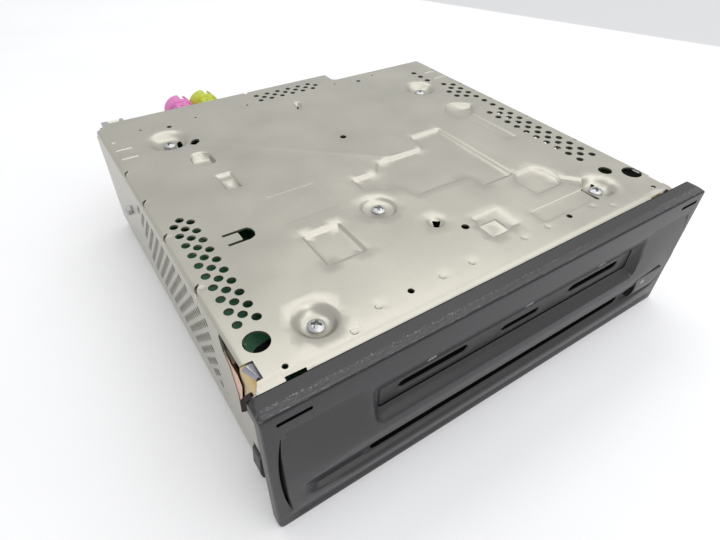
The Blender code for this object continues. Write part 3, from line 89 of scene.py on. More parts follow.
def add_camera():
    """The photograph's camera, solved on the corners of the front and of the case, for 720 by 540 pixels."""
    picture_width = 720
    focal_pixels = 514.58
    sensor = 36.0
    right = Vector((0.83353, -0.55223, 0.01651))
    down = Vector((-0.35448, -0.55748, -0.75071))
    back = right.cross(-down).normalized()
    camera = bpy.data.cameras.new("camera")
    camera.lens = focal_pixels * sensor / picture_width
    camera.sensor_width = sensor
    camera.clip_start = 1 * mm
    obj = add_object("camera", camera)
    place = Matrix.Translation(unit_place(-112.11, -66.19, 162.60))
    obj.matrix_world = place @ Matrix((right, -down, back)).transposed().to_4x4()
    bpy.context.scene.camera = obj


# Materials
def rgba(colour):
    """Four values from one grey level or from three values."""
    return (colour, colour, colour, 1) if isinstance(colour, (int, float)) else (*colour[:3], 1)


def scaled(colour, factor):
    return tuple(value * factor for value in colour)


class Tree:
    """A node tree that is built by short calls, each of which returns what it makes."""

    def __init__(self, owner):
        owner.use_nodes = True
        self.owner = owner
        self.tree = owner.node_tree

    def put(self, socket, value):
        if isinstance(value, bpy.types.NodeSocket):
            self.tree.links.new(value, socket)
        else:
            socket.default_value = rgba(value) if socket.type == "RGBA" else value

    def set(self, node_name, inputs):
        for key, value in inputs.items():
            self.put(self.tree.nodes[node_name].inputs[key], value)

    def node(self, kind, inputs=None, **settings):
        made = self.tree.nodes.new(kind)
        for key, value in settings.items():
            setattr(made, key, value)
        for key, value in (inputs or {}).items():
            self.put(made.inputs[key], value)
        return made

    def maths(self, operation, *values, clamp=False):
        inputs = dict(enumerate(values))
        return self.node("ShaderNodeMath", inputs, operation=operation, use_clamp=clamp).outputs[0]

    def times(self, first, second):
        return self.maths("MULTIPLY", first, second)

    def greater(self, first, second):
        return self.maths("MAXIMUM", first, second)

    def mix(self, fac, first, second):
        return self.node("ShaderNodeMix", {0: fac, 6: first, 7: second}, data_type="RGBA").outputs[2]

    def rise(self, value, low, high):
        """From 0 to 1 as a value passes from low to high."""
        inputs = {"Value": value, "From Min": low, "From Max": high}
        return self.node("ShaderNodeMapRange", inputs).outputs["Result"]

    def band(self, value, low, high, soft):
        """1 where a value lies between two limits, fading over a soft edge."""
        return self.times(self.rise(value, low - soft, low), self.rise(value, high + soft, high))

    def ramp(self, fac, low, high, first, last):
        """From one colour or grey to another as a factor passes from low to high."""
        made = self.node("ShaderNodeValToRGB", {"Fac": fac})
        for element, place, colour in zip(made.color_ramp.elements, (low, high), (first, last)):
            element.position = place
            element.color = rgba(colour)
        return made.outputs["Color"]

    def object_place(self):
        return self.node("ShaderNodeTexCoord").outputs["Object"]

    def coordinates(self, stretch=(1, 1, 1)):
        """Object coordinates in millimetres, stretched as asked."""
        inputs = {"Vector": self.object_place(), "Scale": [value / mm for value in stretch]}
        return self.node("ShaderNodeMapping", inputs).outputs["Vector"]

    def noise(self, scale, detail=4.0, roughness=0.5, stretch=(1, 1, 1)):
        """Noise whose scale is in waves per millimetre."""
        vector = self.coordinates(stretch)
        inputs = {"Vector": vector, "Scale": scale, "Detail": detail, "Roughness": roughness}
        return self.node("ShaderNodeTexNoise", inputs).outputs["Fac"]

    def specks(self, scale, near, far, stretch=(1, 1, 1)):
        """Round specks, at most one in each cell of a pattern."""
        inputs = {"Vector": self.coordinates(stretch), "Scale": scale}
        distance = self.node("ShaderNodeTexVoronoi", inputs).outputs["Distance"]
        return self.ramp(distance, near, far, 1, 0)

    def seen_ray(self):
        """1 for a ray that shows the surface to the camera, straight or through metal and glass."""
        rays = self.node("ShaderNodeLightPath").outputs
        seen = self.greater(rays["Is Camera Ray"], rays["Is Glossy Ray"])
        return self.greater(seen, rays["Is Transmission Ray"])

    def surface(self, tone, roughness, grain=None, depth=0, strength=0, **others):
        """Sets the shader, with a bump depth in millimetres if there is a grain; returns the material."""
        inputs = {"Base Color": tone, "Roughness": roughness}
        inputs.update({key.replace("_", " "): value for key, value in others.items()})
        if grain is not None:
            bump = {"Height": grain, "Distance": depth * mm, "Strength": strength}
            inputs["Normal"] = self.node("ShaderNodeBump", bump).outputs["Normal"]
        self.set("Principled BSDF", inputs)
        return self.owner


def new_look(name):
    return Tree(bpy.data.materials.new(name))


def sheet_metal(name, colour, dull):
    """Plated sheet steel: fine rolling lines, faint clouds, spots and pale flecks."""
    look = new_look(name)
    rolled = look.noise(1.2, 3, 0.6, (2.5, 0.03, 0.5))
    clouds = look.noise(0.035, 5, 0.55)
    spots = look.noise(0.9, 5, 0.7)
    tone = look.ramp(clouds, 0.3, 0.7, scaled(colour, 0.90), scaled(colour, 1.05))
    tone = look.mix(look.ramp(rolled, 0.35, 0.65, 0, 0.22), tone, scaled(colour, 0.86))
    tone = look.mix(look.ramp(spots, 0.60, 0.72, 0, 0.25), tone, scaled(colour, 0.75))
    flecks = look.specks(0.8, 0.07, 0.13, (1.0, 0.55, 1.0))
    flecks = look.times(flecks, look.ramp(look.noise(0.04, 4), 0.50, 0.68, 0, 0.55))
    tone = look.mix(flecks, tone, scaled(colour, 1.5))
    rough = look.ramp(clouds, 0.3, 0.7, dull, dull + 0.10)
    rough = look.mix(look.ramp(rolled, 0.4, 0.6, 0, 0.5), rough, dull + 0.08)
    return look.surface(tone, rough, look.maths("ADD", rolled, spots), 0.02, 0.35, Metallic=0.85)


def front_wear(look, tone, rough):
    """Scuffs along the front's top edge, strongest at its ends, and pale dust on its top."""
    across, depth, height = look.node("ShaderNodeSeparateXYZ", {"Vector": look.coordinates()}).outputs
    depth = look.maths("SUBTRACT", depth, front_y / mm)
    ends = look.greater(look.rise(across, 40.0, -75.0), look.rise(across, 55.0, 86.0))
    strength = look.maths("MULTIPLY_ADD", ends, 0.75, 0.25)
    chips = look.noise(1.6, 5, 0.8)
    streaks = look.noise(1.0, 4, 0.7, (0.35, 3.0, 3.0))
    edge_line = look.times(look.band(depth, 2.7, 3.25, 0.35), look.ramp(chips, 0.56, 0.64, 0, 0.9))
    lower_line = look.times(look.band(depth, 0.7, 1.1, 0.2), look.ramp(streaks, 0.56, 0.66, 0, 0.5))
    scuffed = look.times(look.band(depth, 0.8, 3.0, 0.2), look.ramp(streaks, 0.45, 0.72, 0.02, 0.16))
    marks = look.greater(look.greater(edge_line, lower_line), scuffed)
    marks = look.times(marks, look.band(height, 56.35, 60.0, 0.1))
    marks = look.maths("MULTIPLY", marks, strength, clamp=True)
    dust = look.times(look.specks(1.1, 0.07, 0.13), look.ramp(look.noise(0.12, 3), 0.52, 0.66, 0, 0.6))
    dust = look.times(dust, look.times(look.band(height, 57.2, 60.0, 0.1), strength))
    return look.mix(look.greater(marks, dust), tone, (0.48, 0.48, 0.49)), look.mix(marks, rough, 0.6)


def moulded(name, colour, roughness, grain=3.0, shine=0.5, worn=None):
    """Moulded plastic: a fine grain and a slight change of tone, and wear if a function for it is given."""
    look = new_look(name)
    fine = look.noise(grain, 3, 0.6)
    tone = look.ramp(look.noise(0.05, 4), 0.3, 0.7, scaled(colour, 0.92), scaled(colour, 1.08))
    tone = look.mix(look.ramp(fine, 0.50, 0.75, 0, 0.25), tone, scaled(colour, 1.3))
    rough = look.ramp(fine, 0.3, 0.7, roughness - 0.04, roughness + 0.04)
    if worn:
        tone, rough = worn(look, tone, rough)
    return look.surface(tone, rough, fine, 0.012, 0.5, Specular_IOR_Level=shine)


def bright_metal(name, colour, roughness):
    look = new_look(name)
    fine = look.noise(2.0, 4, 0.6)
    tone = look.ramp(fine, 0.3, 0.7, scaled(colour, 0.85), colour)
    rough = look.ramp(fine, 0.3, 0.7, roughness, roughness + 0.12)
    return look.surface(tone, rough, fine, 0.01, 0.3, Metallic=1.0)


def circuit_board(name):
    """Green lacquer over copper tracks, with tinned spots."""
    look = new_look(name)
    lacquer = {
        "Color1": (0.040, 0.210, 0.105), "Color2": (0.050, 0.240, 0.120), "Mortar": (0.080, 0.320, 0.170)
    }
    pattern = {"Vector": look.coordinates(), "Scale": 0.4, "Mortar Size": 0.03, **lacquer}
    tracks = look.node("ShaderNodeTexBrick", pattern).outputs["Color"]
    tone = look.mix(look.specks(0.35, 0.10, 0.16), tracks, (0.42, 0.42, 0.38))
    return look.surface(tone, 0.35, look.noise(0.7, 3), 0.05, 0.3)


def soft_black(name, colour, roughness, scale):
    look = new_look(name)
    fine = look.noise(scale, 6, 0.7)
    tone = look.ramp(fine, 0.3, 0.7, scaled(colour, 0.6), scaled(colour, 1.6))
    return look.surface(tone, roughness, fine, 0.08, 0.7)


def coated_glass(name):
    look = new_look(name)
    return look.surface(look.ramp(look.noise(0.3, 2), 0.3, 0.7, (0.10, 0.13, 0.30), (0.30, 0.20, 0.45)), 0.06)


finishes = (
    (sheet_metal, "lid_steel", (0.48, 0.463, 0.403), 0.30),
    (bright_metal, "bright_steel", (0.50, 0.50, 0.505), 0.30),
    (moulded, "front_plastic", (0.0215, 0.0207, 0.0228), 0.38, 4.0, 0.5, front_wear),
    (moulded, "plate_plastic", (0.015, 0.015, 0.016), 0.36, 4.0),
    (moulded, "black_plastic", (0.012, 0.012, 0.013), 0.40),
    # Near-black painted shade, for the walls of openings and for dark pieces set where shade falls
    (moulded, "opening_black", (0.004, 0.004, 0.004), 0.9, 3.0, 0.05),
    (moulded, "print_grey", (0.50, 0.50, 0.51), 0.6),
    (bright_metal, "spring_bronze", (0.72, 0.42, 0.27), 0.30),
    (circuit_board, "board_green"),
    (soft_black, "rubber", (0.022, 0.022, 0.022), 0.75, 2.0),
    (soft_black, "felt", (0.015, 0.015, 0.016), 0.95, 5.0),
    (moulded, "white_plastic", (0.78, 0.78, 0.74), 0.40),
    (moulded, "ivory_plastic", (0.80, 0.79, 0.68), 0.42),
    (moulded, "pink_plastic", (0.72, 0.20, 0.50), 0.35),
    (moulded, "lime_plastic", (0.50, 0.55, 0.03), 0.35),
    (bright_metal, "brass", (0.62, 0.47, 0.22), 0.26),
    (moulded, "tape_brown", (0.022, 0.007, 0.005), 0.7, 3.0, 0.1),
    (bright_metal, "tab_steel", (0.34, 0.34, 0.38), 0.20),
    (bright_metal, "copper_leaf", (0.80, 0.56, 0.44), 0.42),
    (bright_metal, "aluminium", (0.72, 0.72, 0.73), 0.35),
    (coated_glass, "lens_glass"),
)
looks = {name: maker(name, *values) for maker, name, *values in finishes}
looks["steel_sheet"] = looks["lid_steel"]
slot_of = {row["node"]: row["material_slot"] for row in frame["record"]["subparts"]}
for name, obj in frame["nodes"].items():
    obj.data.materials.clear()
    obj.data.materials.append(looks[slot_of[name]])


# Flat outlines, as lists of points
def arc(centre, radius, start, end, steps):
    """Points on an arc, angles in degrees."""
    angles = [math.radians(start + (end - start) * step / steps) for step in range(steps + 1)]
    return [(centre[0] + radius * math.cos(a), centre[1] + radius * math.sin(a)) for a in angles]


def circle(centre, radius, sides=16):
    return arc(centre, radius, 0, 360, sides)[:-1]


def rectangle(left, right, low, high):
    return [(left, low), (right, low), (right, high), (left, high)]


def slot_outline(left, right, low, high, steps=5):
    """A slot with round ends."""
    radius = (high - low) / 2
    middle = (high + low) / 2
    first = arc((right - radius, middle), radius, -90, 90, steps)
    return first + arc((left + radius, middle), radius, 90, 270, steps)


def corners_of(outline):
    """Each corner of a closed outline, between the one before it and the one after it."""
    count = len(outline)
    for number in range(count):
        yield [Vector(outline[(number + step) % count]) for step in (-1, 0, 1)]


def rounded(outline, radius, steps=4):
    """A closed outline whose corners are rounded by quadratic curves that start a radius from each corner."""
    made = []
    for before, here, after in corners_of(outline):
        reach = min(radius, (before - here).length / 2, (after - here).length / 2)
        first = here + (before - here).normalized() * reach
        last = here + (after - here).normalized() * reach
        for step in range(steps + 1):
            share = step / steps
            made.append(tuple(first.lerp(here, share).lerp(here.lerp(last, share), share)))
    return made


def drawn_in(outline, distance):
    """The outline moved inwards by a distance; a negative one moves it out."""
    moved = []
    turn = sum(x0 * y1 - x1 * y0 for (x0, y0), (x1, y1) in zip(outline[-1:] + outline[:-1], outline))
    side = 1 if turn > 0 else -1
    for before, here, after in corners_of(outline):
        first = (here - before).normalized()
        both = first + (after - here).normalized()
        along = both.normalized() if both.length > 0 else first
        moved.append(tuple(here + Vector((-along.y, along.x)) * side * distance))
    return moved


def finely(outline, step):
    """The closed outline with points added along its long sides."""
    made = []
    for start, end in zip(outline, outline[1:] + outline[:1]):
        start, end = Vector(start), Vector(end)
        parts = max(1, round((end - start).length / step))
        made += [tuple(start.lerp(end, part / parts)) for part in range(parts)]
    return made


def mirrored(outline):
    return [(-x, y) for x, y in outline]


def in_metres(outline):
    return [(x * mm, y * mm) for x, y in outline]


# Measures of many points at once
def inside(points, outline):
    """Which points lie inside a closed outline."""
    held = np.zeros(len(points), bool)
    corners = np.array(outline)
    for (x0, y0), (x1, y1) in zip(corners, np.roll(corners, -1, axis=0)):
        crosses = (y0 > points[:, 1]) != (y1 > points[:, 1])
        if crosses.any():
            reach = x0 + (points[crosses, 1] - y0) * (x1 - x0) / (y1 - y0)
            held[crosses] ^= points[crosses, 0] < reach
    return held


shortest_edge = 1e-9


def edge_gaps(points, outline, closed=True):
    """For each edge: its start, its end, and the way from its nearest place to each point."""
    corners = np.array(outline)
    ends = np.roll(corners, -1, axis=0) if closed else corners[1:]
    for start, end in zip(corners, ends):
        along = end - start
        share = np.clip(((points - start) @ along) / max(along @ along, shortest_edge**2), 0, 1)
        yield start, end, points - (start + share[:, None] * along)


def edge_distance(points, outline, closed=True):
    """The distance from each point to the nearest place on an outline or a line."""
    return np.min([np.hypot(*gap.T) for _, _, gap in edge_gaps(points, outline, closed)], axis=0)


def smooth_step(share):
    share = np.clip(share, 0, 1)
    return share * share * (3 - 2 * share)


def ramp_up(low, high, values):
    return smooth_step((values - low) / (high - low))


def read_profile(profile, places):
    """Values between those of a table of (place, value)."""
    ordered = sorted(profile)
    return np.interp(places, [place for place, _ in ordered], [value for _, value in ordered])


def softened(profile, places, reach):
    """A profile with its corners rounded over a reach."""
    offsets = np.linspace(-reach, reach, 7)
    weights = 1 - (offsets / (reach * 1.2)) ** 2
    total = sum(weight * read_profile(profile, places + offset) for weight, offset in zip(weights, offsets))
    return total / weights.sum()


crowding = 0.45
merge_distance = 0.0005 * mm


def lay_out(outline, holes, lines, spacing):
    """Triangles over an outline, without its holes, that follow the given lines; (points, triangles)."""
    points, edges = [], []
    for loop, closed in [(outline, True), *((hole, True) for hole in holes), *lines]:
        first, count = len(points), len(loop)
        points.extend(loop)
        edges.extend((first + i, first + (i + 1) % count) for i in range(count if closed else count - 1))
    low = np.min(outline, axis=0)
    high = np.max(outline, axis=0)
    counts = np.maximum(1, np.round((high - low) / spacing)).astype(int)
    grid_x, grid_y = np.meshgrid(*(np.linspace(low[axis], high[axis], counts[axis] + 1) for axis in (0, 1)))
    grid_x[1::2] += spacing / 2
    grid = np.column_stack([grid_x.ravel(), grid_y.ravel()])
    cells = {tuple(cell) for cell in np.floor(np.array(points) / (spacing * crowding)).astype(int)}
    near = [(dx, dy) for dx in (-1, 0, 1) for dy in (-1, 0, 1)]
    for spot, cell in zip(grid, np.floor(grid / (spacing * crowding)).astype(int)):
        if not any((cell[0] + dx, cell[1] + dy) in cells for dx, dy in near):
            points.append(tuple(spot))
    made, _, faces, *_ = delaunay_2d_cdt([Vector(point) for point in points], edges, [], 0, 1e-7, False)
    made = np.array([tuple(point) for point in made])
    faces = np.array(faces)
    middles = made[faces].mean(axis=1)
    kept = inside(middles, outline)
    for hole in holes:
        kept &= ~inside(middles, hole)
    return made, faces[kept]


def grid_faces(rows, columns, rows_closed=False, columns_closed=True):
    """Quads over rows of corners, where either direction may close on itself."""

    def corner(row, column):
        return row % rows * columns + column % columns

    places = [(r, c) for r in range(rows - (not rows_closed)) for c in range(columns - (not columns_closed))]
    return [(corner(r, c), corner(r, c + 1), corner(r + 1, c + 1), corner(r + 1, c)) for r, c in places]


class Shape:
    """A mesh in the making: flat sheets, laid out in millimetres and placed by functions, and their walls."""

    def __init__(self):
        self.mesh = bmesh.new()

    def faces(self, spots, faces, flip=False):
        corners = [self.mesh.verts.new(spot) for spot in spots]
        for face in faces:
            self.mesh.faces.new([corners[index] for index in (face[::-1] if flip else face)])

    def sheet(self, place, outline, spacing, holes=(), lines=(), flip=False):
        holes = [in_metres(hole) for hole in holes]
        lines = [(in_metres(line), closed) for line, closed in lines]
        flat, faces = lay_out(in_metres(outline), holes, lines, spacing * mm)
        self.faces(place(flat), faces, flip)

    def walls(self, outline, front, back):
        points = np.array(in_metres(outline))
        self.faces([*front(points), *back(points)], grid_faces(2, len(points)))

    def object(self, name, look, smooth=30.0, wall=None, offset=-1, closed=True):
        """The shape as an object: a closed solid, or a sheet that gets a wall."""
        bmesh.ops.remove_doubles(self.mesh, verts=self.mesh.verts, dist=merge_distance)
        loose = [corner for corner in self.mesh.verts if not corner.link_faces]
        bmesh.ops.delete(self.mesh, geom=loose, context="VERTS")
        if closed and wall is None:
            bmesh.ops.recalc_face_normals(self.mesh, faces=self.mesh.faces)
        mesh = bpy.data.meshes.new(name)
        self.mesh.to_mesh(mesh)
        self.mesh.free()
        obj = add_object(name, mesh)
        if wall is not None:
            modifier = obj.modifiers.new("wall", "SOLIDIFY")
            modifier.thickness = wall * mm
            modifier.offset = offset
            graph = bpy.context.evaluated_depsgraph_get()
            thick = bpy.data.meshes.new_from_object(obj.evaluated_get(graph))
            obj.modifiers.clear()
            obj.data = thick
            bpy.data.meshes.remove(mesh)
        obj.data.materials.clear()
        obj.data.materials.append(look)
        obj.data.shade_smooth()
        obj.data.set_sharp_from_angle(angle=math.radians(smooth))
        return obj


def at_level(axis, distance):
    """A function that places flat points at one distance along an axis; they lie along the other two."""

    def placed(flat):
        return np.insert(np.asarray(flat) / mm, axis, distance, axis=1) * mm + (0, front_y, 0)

    return placed


def prism(name, axis, outline, near, far, look, spacing=2.0):
    """A flat outline carried along an axis from one distance to another."""
    shape = Shape()
    shape.sheet(at_level(axis, near), outline, spacing)
    shape.sheet(at_level(axis, far), outline, spacing, flip=True)
    shape.walls(outline, at_level(axis, near), at_level(axis, far))
    return shape.object(name, looks[look])


def paint_shade_in_openings(obj):
    """Painted shade: a near-black second material for the walls of the openings, which are the four-sided
    faces, in place of the shade inside them.
    """
    obj.data.materials.append(looks["opening_black"])
    for face in obj.data.polygons:
        if len(face.vertices) == 4:
            face.material_index = 1


# Lid: a folded sheet with everything that is pressed and pierced in it
lid_top = lid_high.z
lid_half = lid_high.x
lid_front = lid_low.y
lid_rear = lid_high.y
lid_sheet = 0.8
lid_fold = 1.7 * mm
fold_start = lid_half - lid_fold
fold_length = lid_fold * math.pi / 2
flange_length = lid_top - lid_fold - lid_low.z
lip_radius = 5.0 * mm
tab_lip_radius = 2.6 * mm
tab_start = 75.6 * mm
tab_full = 82.0 * mm
front_bend = 21 * mm
front_bend_rate = 0.0008 / mm
rear_step_x = 31.5 * mm
rear_step = 9.0 * mm
rear_step_corner = 3 * mm
corner_side = 4.2 * mm


def lid_places(pairs):
    """Places on the lid read off the photograph, in the flat layout, which is in metres."""
    return [(x * mm, from_front(y)) for x, y in pairs]


def flange_place(y, z):
    """A place on the left flange, in the flat layout."""
    return -(fold_start + fold_length + (lid_top - lid_fold) - z * mm), from_front(y)


class Pressing:
    """A part of a sheet pressed down, with sloping edges; the edges to the rear may slope more gently."""

    def __init__(self, outline, depth, width, rear=None):
        self.outline = outline
        self.depth = depth * mm
        self.width = width * mm
        self.rear = (rear or width) * mm

    def rings(self):
        return [(drawn_in(self.outline, self.width * share), True) for share in (0.0, 0.25, 0.5, 0.75, 1.0)]

    def drop(self, points):
        """How far the pressing lowers each point."""
        low = np.min(self.outline, axis=0) - self.width
        high = np.max(self.outline, axis=0) + self.width
        held = np.all((points > low) & (points < high), axis=1)
        held[held] = inside(points[held], self.outline)
        fall = np.zeros(len(points))
        if held.any():
            fall[held] = self.depth * smooth_step(self.share(points[held]))
        return fall

    def share(self, points):
        """How far each point is down the slope, 1 or more being its foot."""
        if self.rear == self.width:
            return edge_distance(points, self.outline) / self.width
        middle = np.mean(self.outline, axis=0)
        shares = []
        for start, end, gap in edge_gaps(points, self.outline):
            along = end - start
            length = np.hypot(*along)
            if length < shortest_edge:
                continue
            normal = np.array([along[1], -along[0]]) / length
            rearward = normal[1] * (-1 if normal @ ((start + end) / 2 - middle) < 0 else 1)
            width = self.width + (self.rear - self.width) * max(0.0, rearward) ** 2
            shares.append(np.hypot(*gap.T) / width)
        return np.min(shares, axis=0)


def deepest(pressed, points):
    return np.max([np.zeros(len(points)), *(pressing.drop(points) for pressing in pressed)], axis=0)


def block(left, right, low, high, corner=2.0):
    return shape_of(rectangle(left, right, low, high), corner)


def shape_of(points, corner=2.0):
    return rounded(lid_places(points), corner * mm)


def spot(x, y, radius, sides=28):
    return circle(lid_places([(x, y)])[0], radius * mm, sides)


# Each screw dish's outer radius, depth and floor radius
dishes = {
    "front_left": (7.6, 2.9, 4.1),
    "middle": (7.3, 1.4, 5.6),
    "front_right": (7.9, 2.9, 4.1),
    "rear_right": (9.0, 2.9, 4.1),
    "rear_left": (10.4, 2.9, 4.1),
}
screw_spots = {name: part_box(f"lid_screw_{name}") for name in dishes}
screw_hole = 1.5


def screw_spot(name, radius, sides=36):
    low, high = screw_spots[name]
    return circle(((low.x + high.x) / 2, (low.y + high.y) / 2), radius * mm, sides)


pressings = [
    Pressing(screw_spot(name, radius), depth, radius - floor)
    for name, (radius, depth, floor) in dishes.items()
]
large_pad = [
    (-16.3, 72.5), (-16.3, 83.2), (-4.0, 83.2), (-2.2, 86.0), (0.6, 89.2), (25.0, 89.2), (26.0, 99.8),
    (43.8, 99.8), (43.8, 50.8), (25.4, 50.8), (25.4, 59.2), (-1.2, 59.2), (-2.8, 67.0), (-8.5, 68.0),
    (-10.5, 71.0),
]
right_pad = [(39.5, 34.8), (55.0, 34.8), (57.2, 38.5), (57.2, 47.5), (54.0, 52.2), (43.0, 52.2), (38.5, 47.5)]
rear_pad = [
    (57.0, 103.0), (57.0, 111.0), (61.0, 117.5), (68.0, 119.0), (75.5, 113.0), (75.5, 109.5), (70.0, 102.5),
    (63.0, 101.0),
]
left_pad = [
    (-64.2, 124.0), (-64.2, 133.0), (-61.0, 136.8), (-58.0, 136.4), (-54.8, 133.0), (-54.8, 124.0),
    (-59.5, 122.5),
]
# Each outline with its depth, the width of its slopes and, for some, the width of the slopes to the rear
lid_pads = (
    (block(-50.6, -34.4, 42.0, 61.2), 1.2, 1.6),
    (shape_of(large_pad), 1.2, 2.0),
    (shape_of(right_pad), 1.2, 2.2),
    (shape_of([(54.0, 37.0), (57.5, 41.5), (65.0, 33.5), (60.5, 29.0)], 1.0), 0.9, 1.6),
    (block(6.0, 20.2, 24.8, 38.2), 0.7, 1.8),
    (block(5.6, 15.6, 24.8, 33.8, 1.0), 1.4, 1.2),
    (shape_of(rear_pad, 4.0), 1.6, 2.4, 5.5),
    (block(61.8, 69.0, 73.5, 106.0, 1.5), 0.35, 1.0),
    (shape_of(left_pad), 2.3, 1.3, 5.2),
    (block(-60.6, -53.2, 100.8, 114.2, 1.5), 0.7, 1.2, 1.8),
    (block(-60.2, -53.6, 101.0, 110.6, 1.0), 2.0, 1.1, 3.6),
    (spot(-5.4, 42.6, 3.8), 1.3, 2.2),
    (shape_of([(-3.0, 151.0), (-1.4, 158.6), (1.2, 159.4), (2.6, 157.0), (0.2, 151.5)], 1.0), 1.2, 1.3),
    (block(27.5, 57.5, 20.8, 28.9, 1.5), 0.18, 0.5),
    (block(-50.5, -29.5, 69.0, 88.8, 1.0), 0.07, 0.7),
)
pressings += [Pressing(*pad) for pad in lid_pads]
rivets = (
    (-47.0, 18.8), (-22.3, 18.8), (-9.8, 18.9), (14.5, 18.9), (26.5, 19.0), (51.0, 19.0), (-58.3, 14.5),
    (58.0, 15.0),
)
rivet_radius, rivet_groove = 1.25, 0.16
rivet_depth, rivet_edge = 0.08, 0.35
pressings += [Pressing(spot(x, y, rivet_radius, 14), rivet_depth, rivet_edge) for x, y in rivets]
prick_marks = ((-73.8, 168.6), (-48.0, 168.5), (-21.5, 168.6), (54.0, 169.0), (29.5, 169.0))
prick_radius = 0.55

# Half-moon cuts beside the folds, each behind a faint dent, and thin raised ribs, at places along each side
dents = {-1: (55.5, 85.5, 110.0, 134.5), 1: (57.0, 86.0, 111.0, 134.0, 158.0)}
dent_radius, dent_depth, dent_edge = 1.6, 0.12, 1.3
dent_inset, dent_offset = 1.3 * mm, -1.5
dent_outer = ((-91.2, -3.6), (-90.6, -1.4), (-89.6, 0.2), (-88.1, 1.1))
dent_inner = ((-88.2, 0.4), (-89.0, -0.6), (-89.7, -1.8), (-90.1, -3.6))
edge_ribs = {-1: ((146.0, 7.6), (154.5, 7.2), (162.6, 2.4)), 1: ((147.5, 7.6), (156.5, 7.2))}
rib_inset, rib_half, rib_corner = 2.4, 0.7, 0.6
rib_rise, rib_edge = 0.30, 0.6


def edge_dent(side, y):
    """A half-moon cut beside the fold, open towards the front."""
    made = []
    for x, along in dent_outer + dent_inner:
        past = max(0.0, abs(x) * mm - fold_start)
        bent = lid_fold * math.asin(min(0.98, past / lid_fold))
        made.append((side * (min(abs(x) * mm, fold_start) + bent), from_front(y + along)))
    return made


def edge_rib(side, y, length):
    """A thin raised rib that starts beside the fold."""
    near, far = lid_half - rib_inset * mm, lid_half - (rib_inset + length) * mm
    left, right = sorted((side * near, side * far))
    outline = rectangle(left, right, from_front(y - rib_half), from_front(y + rib_half))
    return rounded(outline, rib_corner * mm)


for side, places in dents.items():
    for y in places:
        centre = (side * (fold_start - dent_inset), from_front(y + dent_offset))
        pressings.append(Pressing(circle(centre, dent_radius * mm, 20), dent_depth, dent_edge))
for side, places in edge_ribs.items():
    pressings += [Pressing(edge_rib(side, y, length), -rib_rise, rib_edge) for y, length in places]
crease_line = lid_places([(-55.0, 144.5), (7.5, 89.5)])
crease_height = 0.22 * mm
crease_width = 1.5 * mm
wave_height = 0.05 * mm

# Vents in the lid's top: the first place of each row, and how many follow
vent_radius, vent_pitch = 1.55, 6.05
vent_columns = (
    (-82.0, 37.3, 10), (-85.0, 34.3, 10), (-79.0, 34.3, 10), (76.0, 44.5, 10), (76.0, 123.0, 2),
    (76.0, 147.3, 3), (80.2, 47.6, 9), (80.2, 120.3, 4), (84.2, 44.6, 16),
)
rear_vent_radius, rear_vent_pitch = 1.3, 6.0
rear_vent_rows = ((-13.0, 176.4, 6), (-10.0, 173.3, 6), (-13.2, 170.3, 6))
# Round holes: place, radius and sides
round_holes = (
    (-83.0, 25.7, 4.0, 28), (85.5, 26.0, 4.0, 28), (77.3, 32.8, 2.8, 24), (1.5, 34.6, 1.5, 16),
    (1.0, 115.0, 1.5, 16), (-61.7, 165.3, 1.15, 14), (42.8, 166.0, 1.15, 14), (-34.9, 18.9, 1.15, 14),
    (38.4, 19.1, 1.15, 14), (-80.3, 14.1, 0.95, 14), (83.4, 14.6, 0.95, 14),
)
slit_corner = 0.4
bracket_slit = [
    (-73.0, 68.5), (-65.0, 68.5), (-62.9, 69.6), (-62.3, 71.8), (-62.6, 74.0), (-63.8, 75.4), (-73.0, 75.4),
    (-73.0, 74.2), (-67.5, 74.2), (-67.5, 69.7), (-73.0, 69.7),
]
slits = (
    [(56.4, 20.4), (57.6, 20.4), (57.6, 28.6), (56.4, 28.6)],
    [(62.2, 28.2), (63.0, 27.2), (68.4, 30.2), (67.6, 31.4)],
    [
        (-63.5, 147.0), (-62.1, 147.2), (-61.1, 150.2), (-60.7, 153.8), (-61.6, 155.0), (-62.8, 153.6),
        (-63.4, 150.6),
    ],
    [(-59.4, 144.1), (-57.9, 147.0), (-55.6, 147.8), (-54.4, 146.6), (-55.2, 143.9), (-57.6, 142.6)],
    [(-7.5, 40.4), (-5.9, 39.9), (-2.8, 42.8), (-5.2, 44.8)],
    [(-2.0, 152.4), (-1.2, 152.2), (0.4, 156.4), (-0.2, 156.8)],
    bracket_slit,
)


def lid_holes():
    holes = [
        spot(x, y + vent_pitch * step, vent_radius, 16)
        for x, y, count in vent_columns
        for step in range(count)
    ]
    for x, y, count in rear_vent_rows:
        holes += [spot(x + rear_vent_pitch * step, y, rear_vent_radius, 16) for step in range(count)]
    holes += [spot(x, y, radius, sides) for x, y, radius, sides in round_holes]
    holes += [spot(x, y, prick_radius, 10) for x, y in prick_marks]
    for centre in rivets:
        outer = arc(centre, rivet_radius, 130, 290, 8)
        holes.append(lid_places(outer + arc(centre, rivet_radius - rivet_groove, 290, 130, 8)))
    holes += [edge_dent(side, y) for side, places in dents.items() for y in places]
    holes += [screw_spot(name, screw_hole, 14) for name in dishes]
    holes += [rounded(lid_places(points), slit_corner * mm, 2) for points in slits]
    return holes


side_vent_radius, side_vent_pitch, side_vent_drop = 1.5, 5.9, 3.03
side_vent_rows, side_vent_columns = 11, 13
side_vent_start, side_vent_top = 46.6, 47.7
stud_hole = (140.0, 34.0)


def side_holes():
    """Vents and the stud's hole in the left flange."""
    made = []
    for row in range(side_vent_rows):
        for column in range(side_vent_columns):
            y = side_vent_start + side_vent_pitch * (column + (row % 2) / 2)
            centre = flange_place(y, side_vent_top - side_vent_drop * row)
            made.append(circle(centre, side_vent_radius * mm, 12))
    return made + [circle(flange_place(*stud_hole), side_vent_radius * mm)]


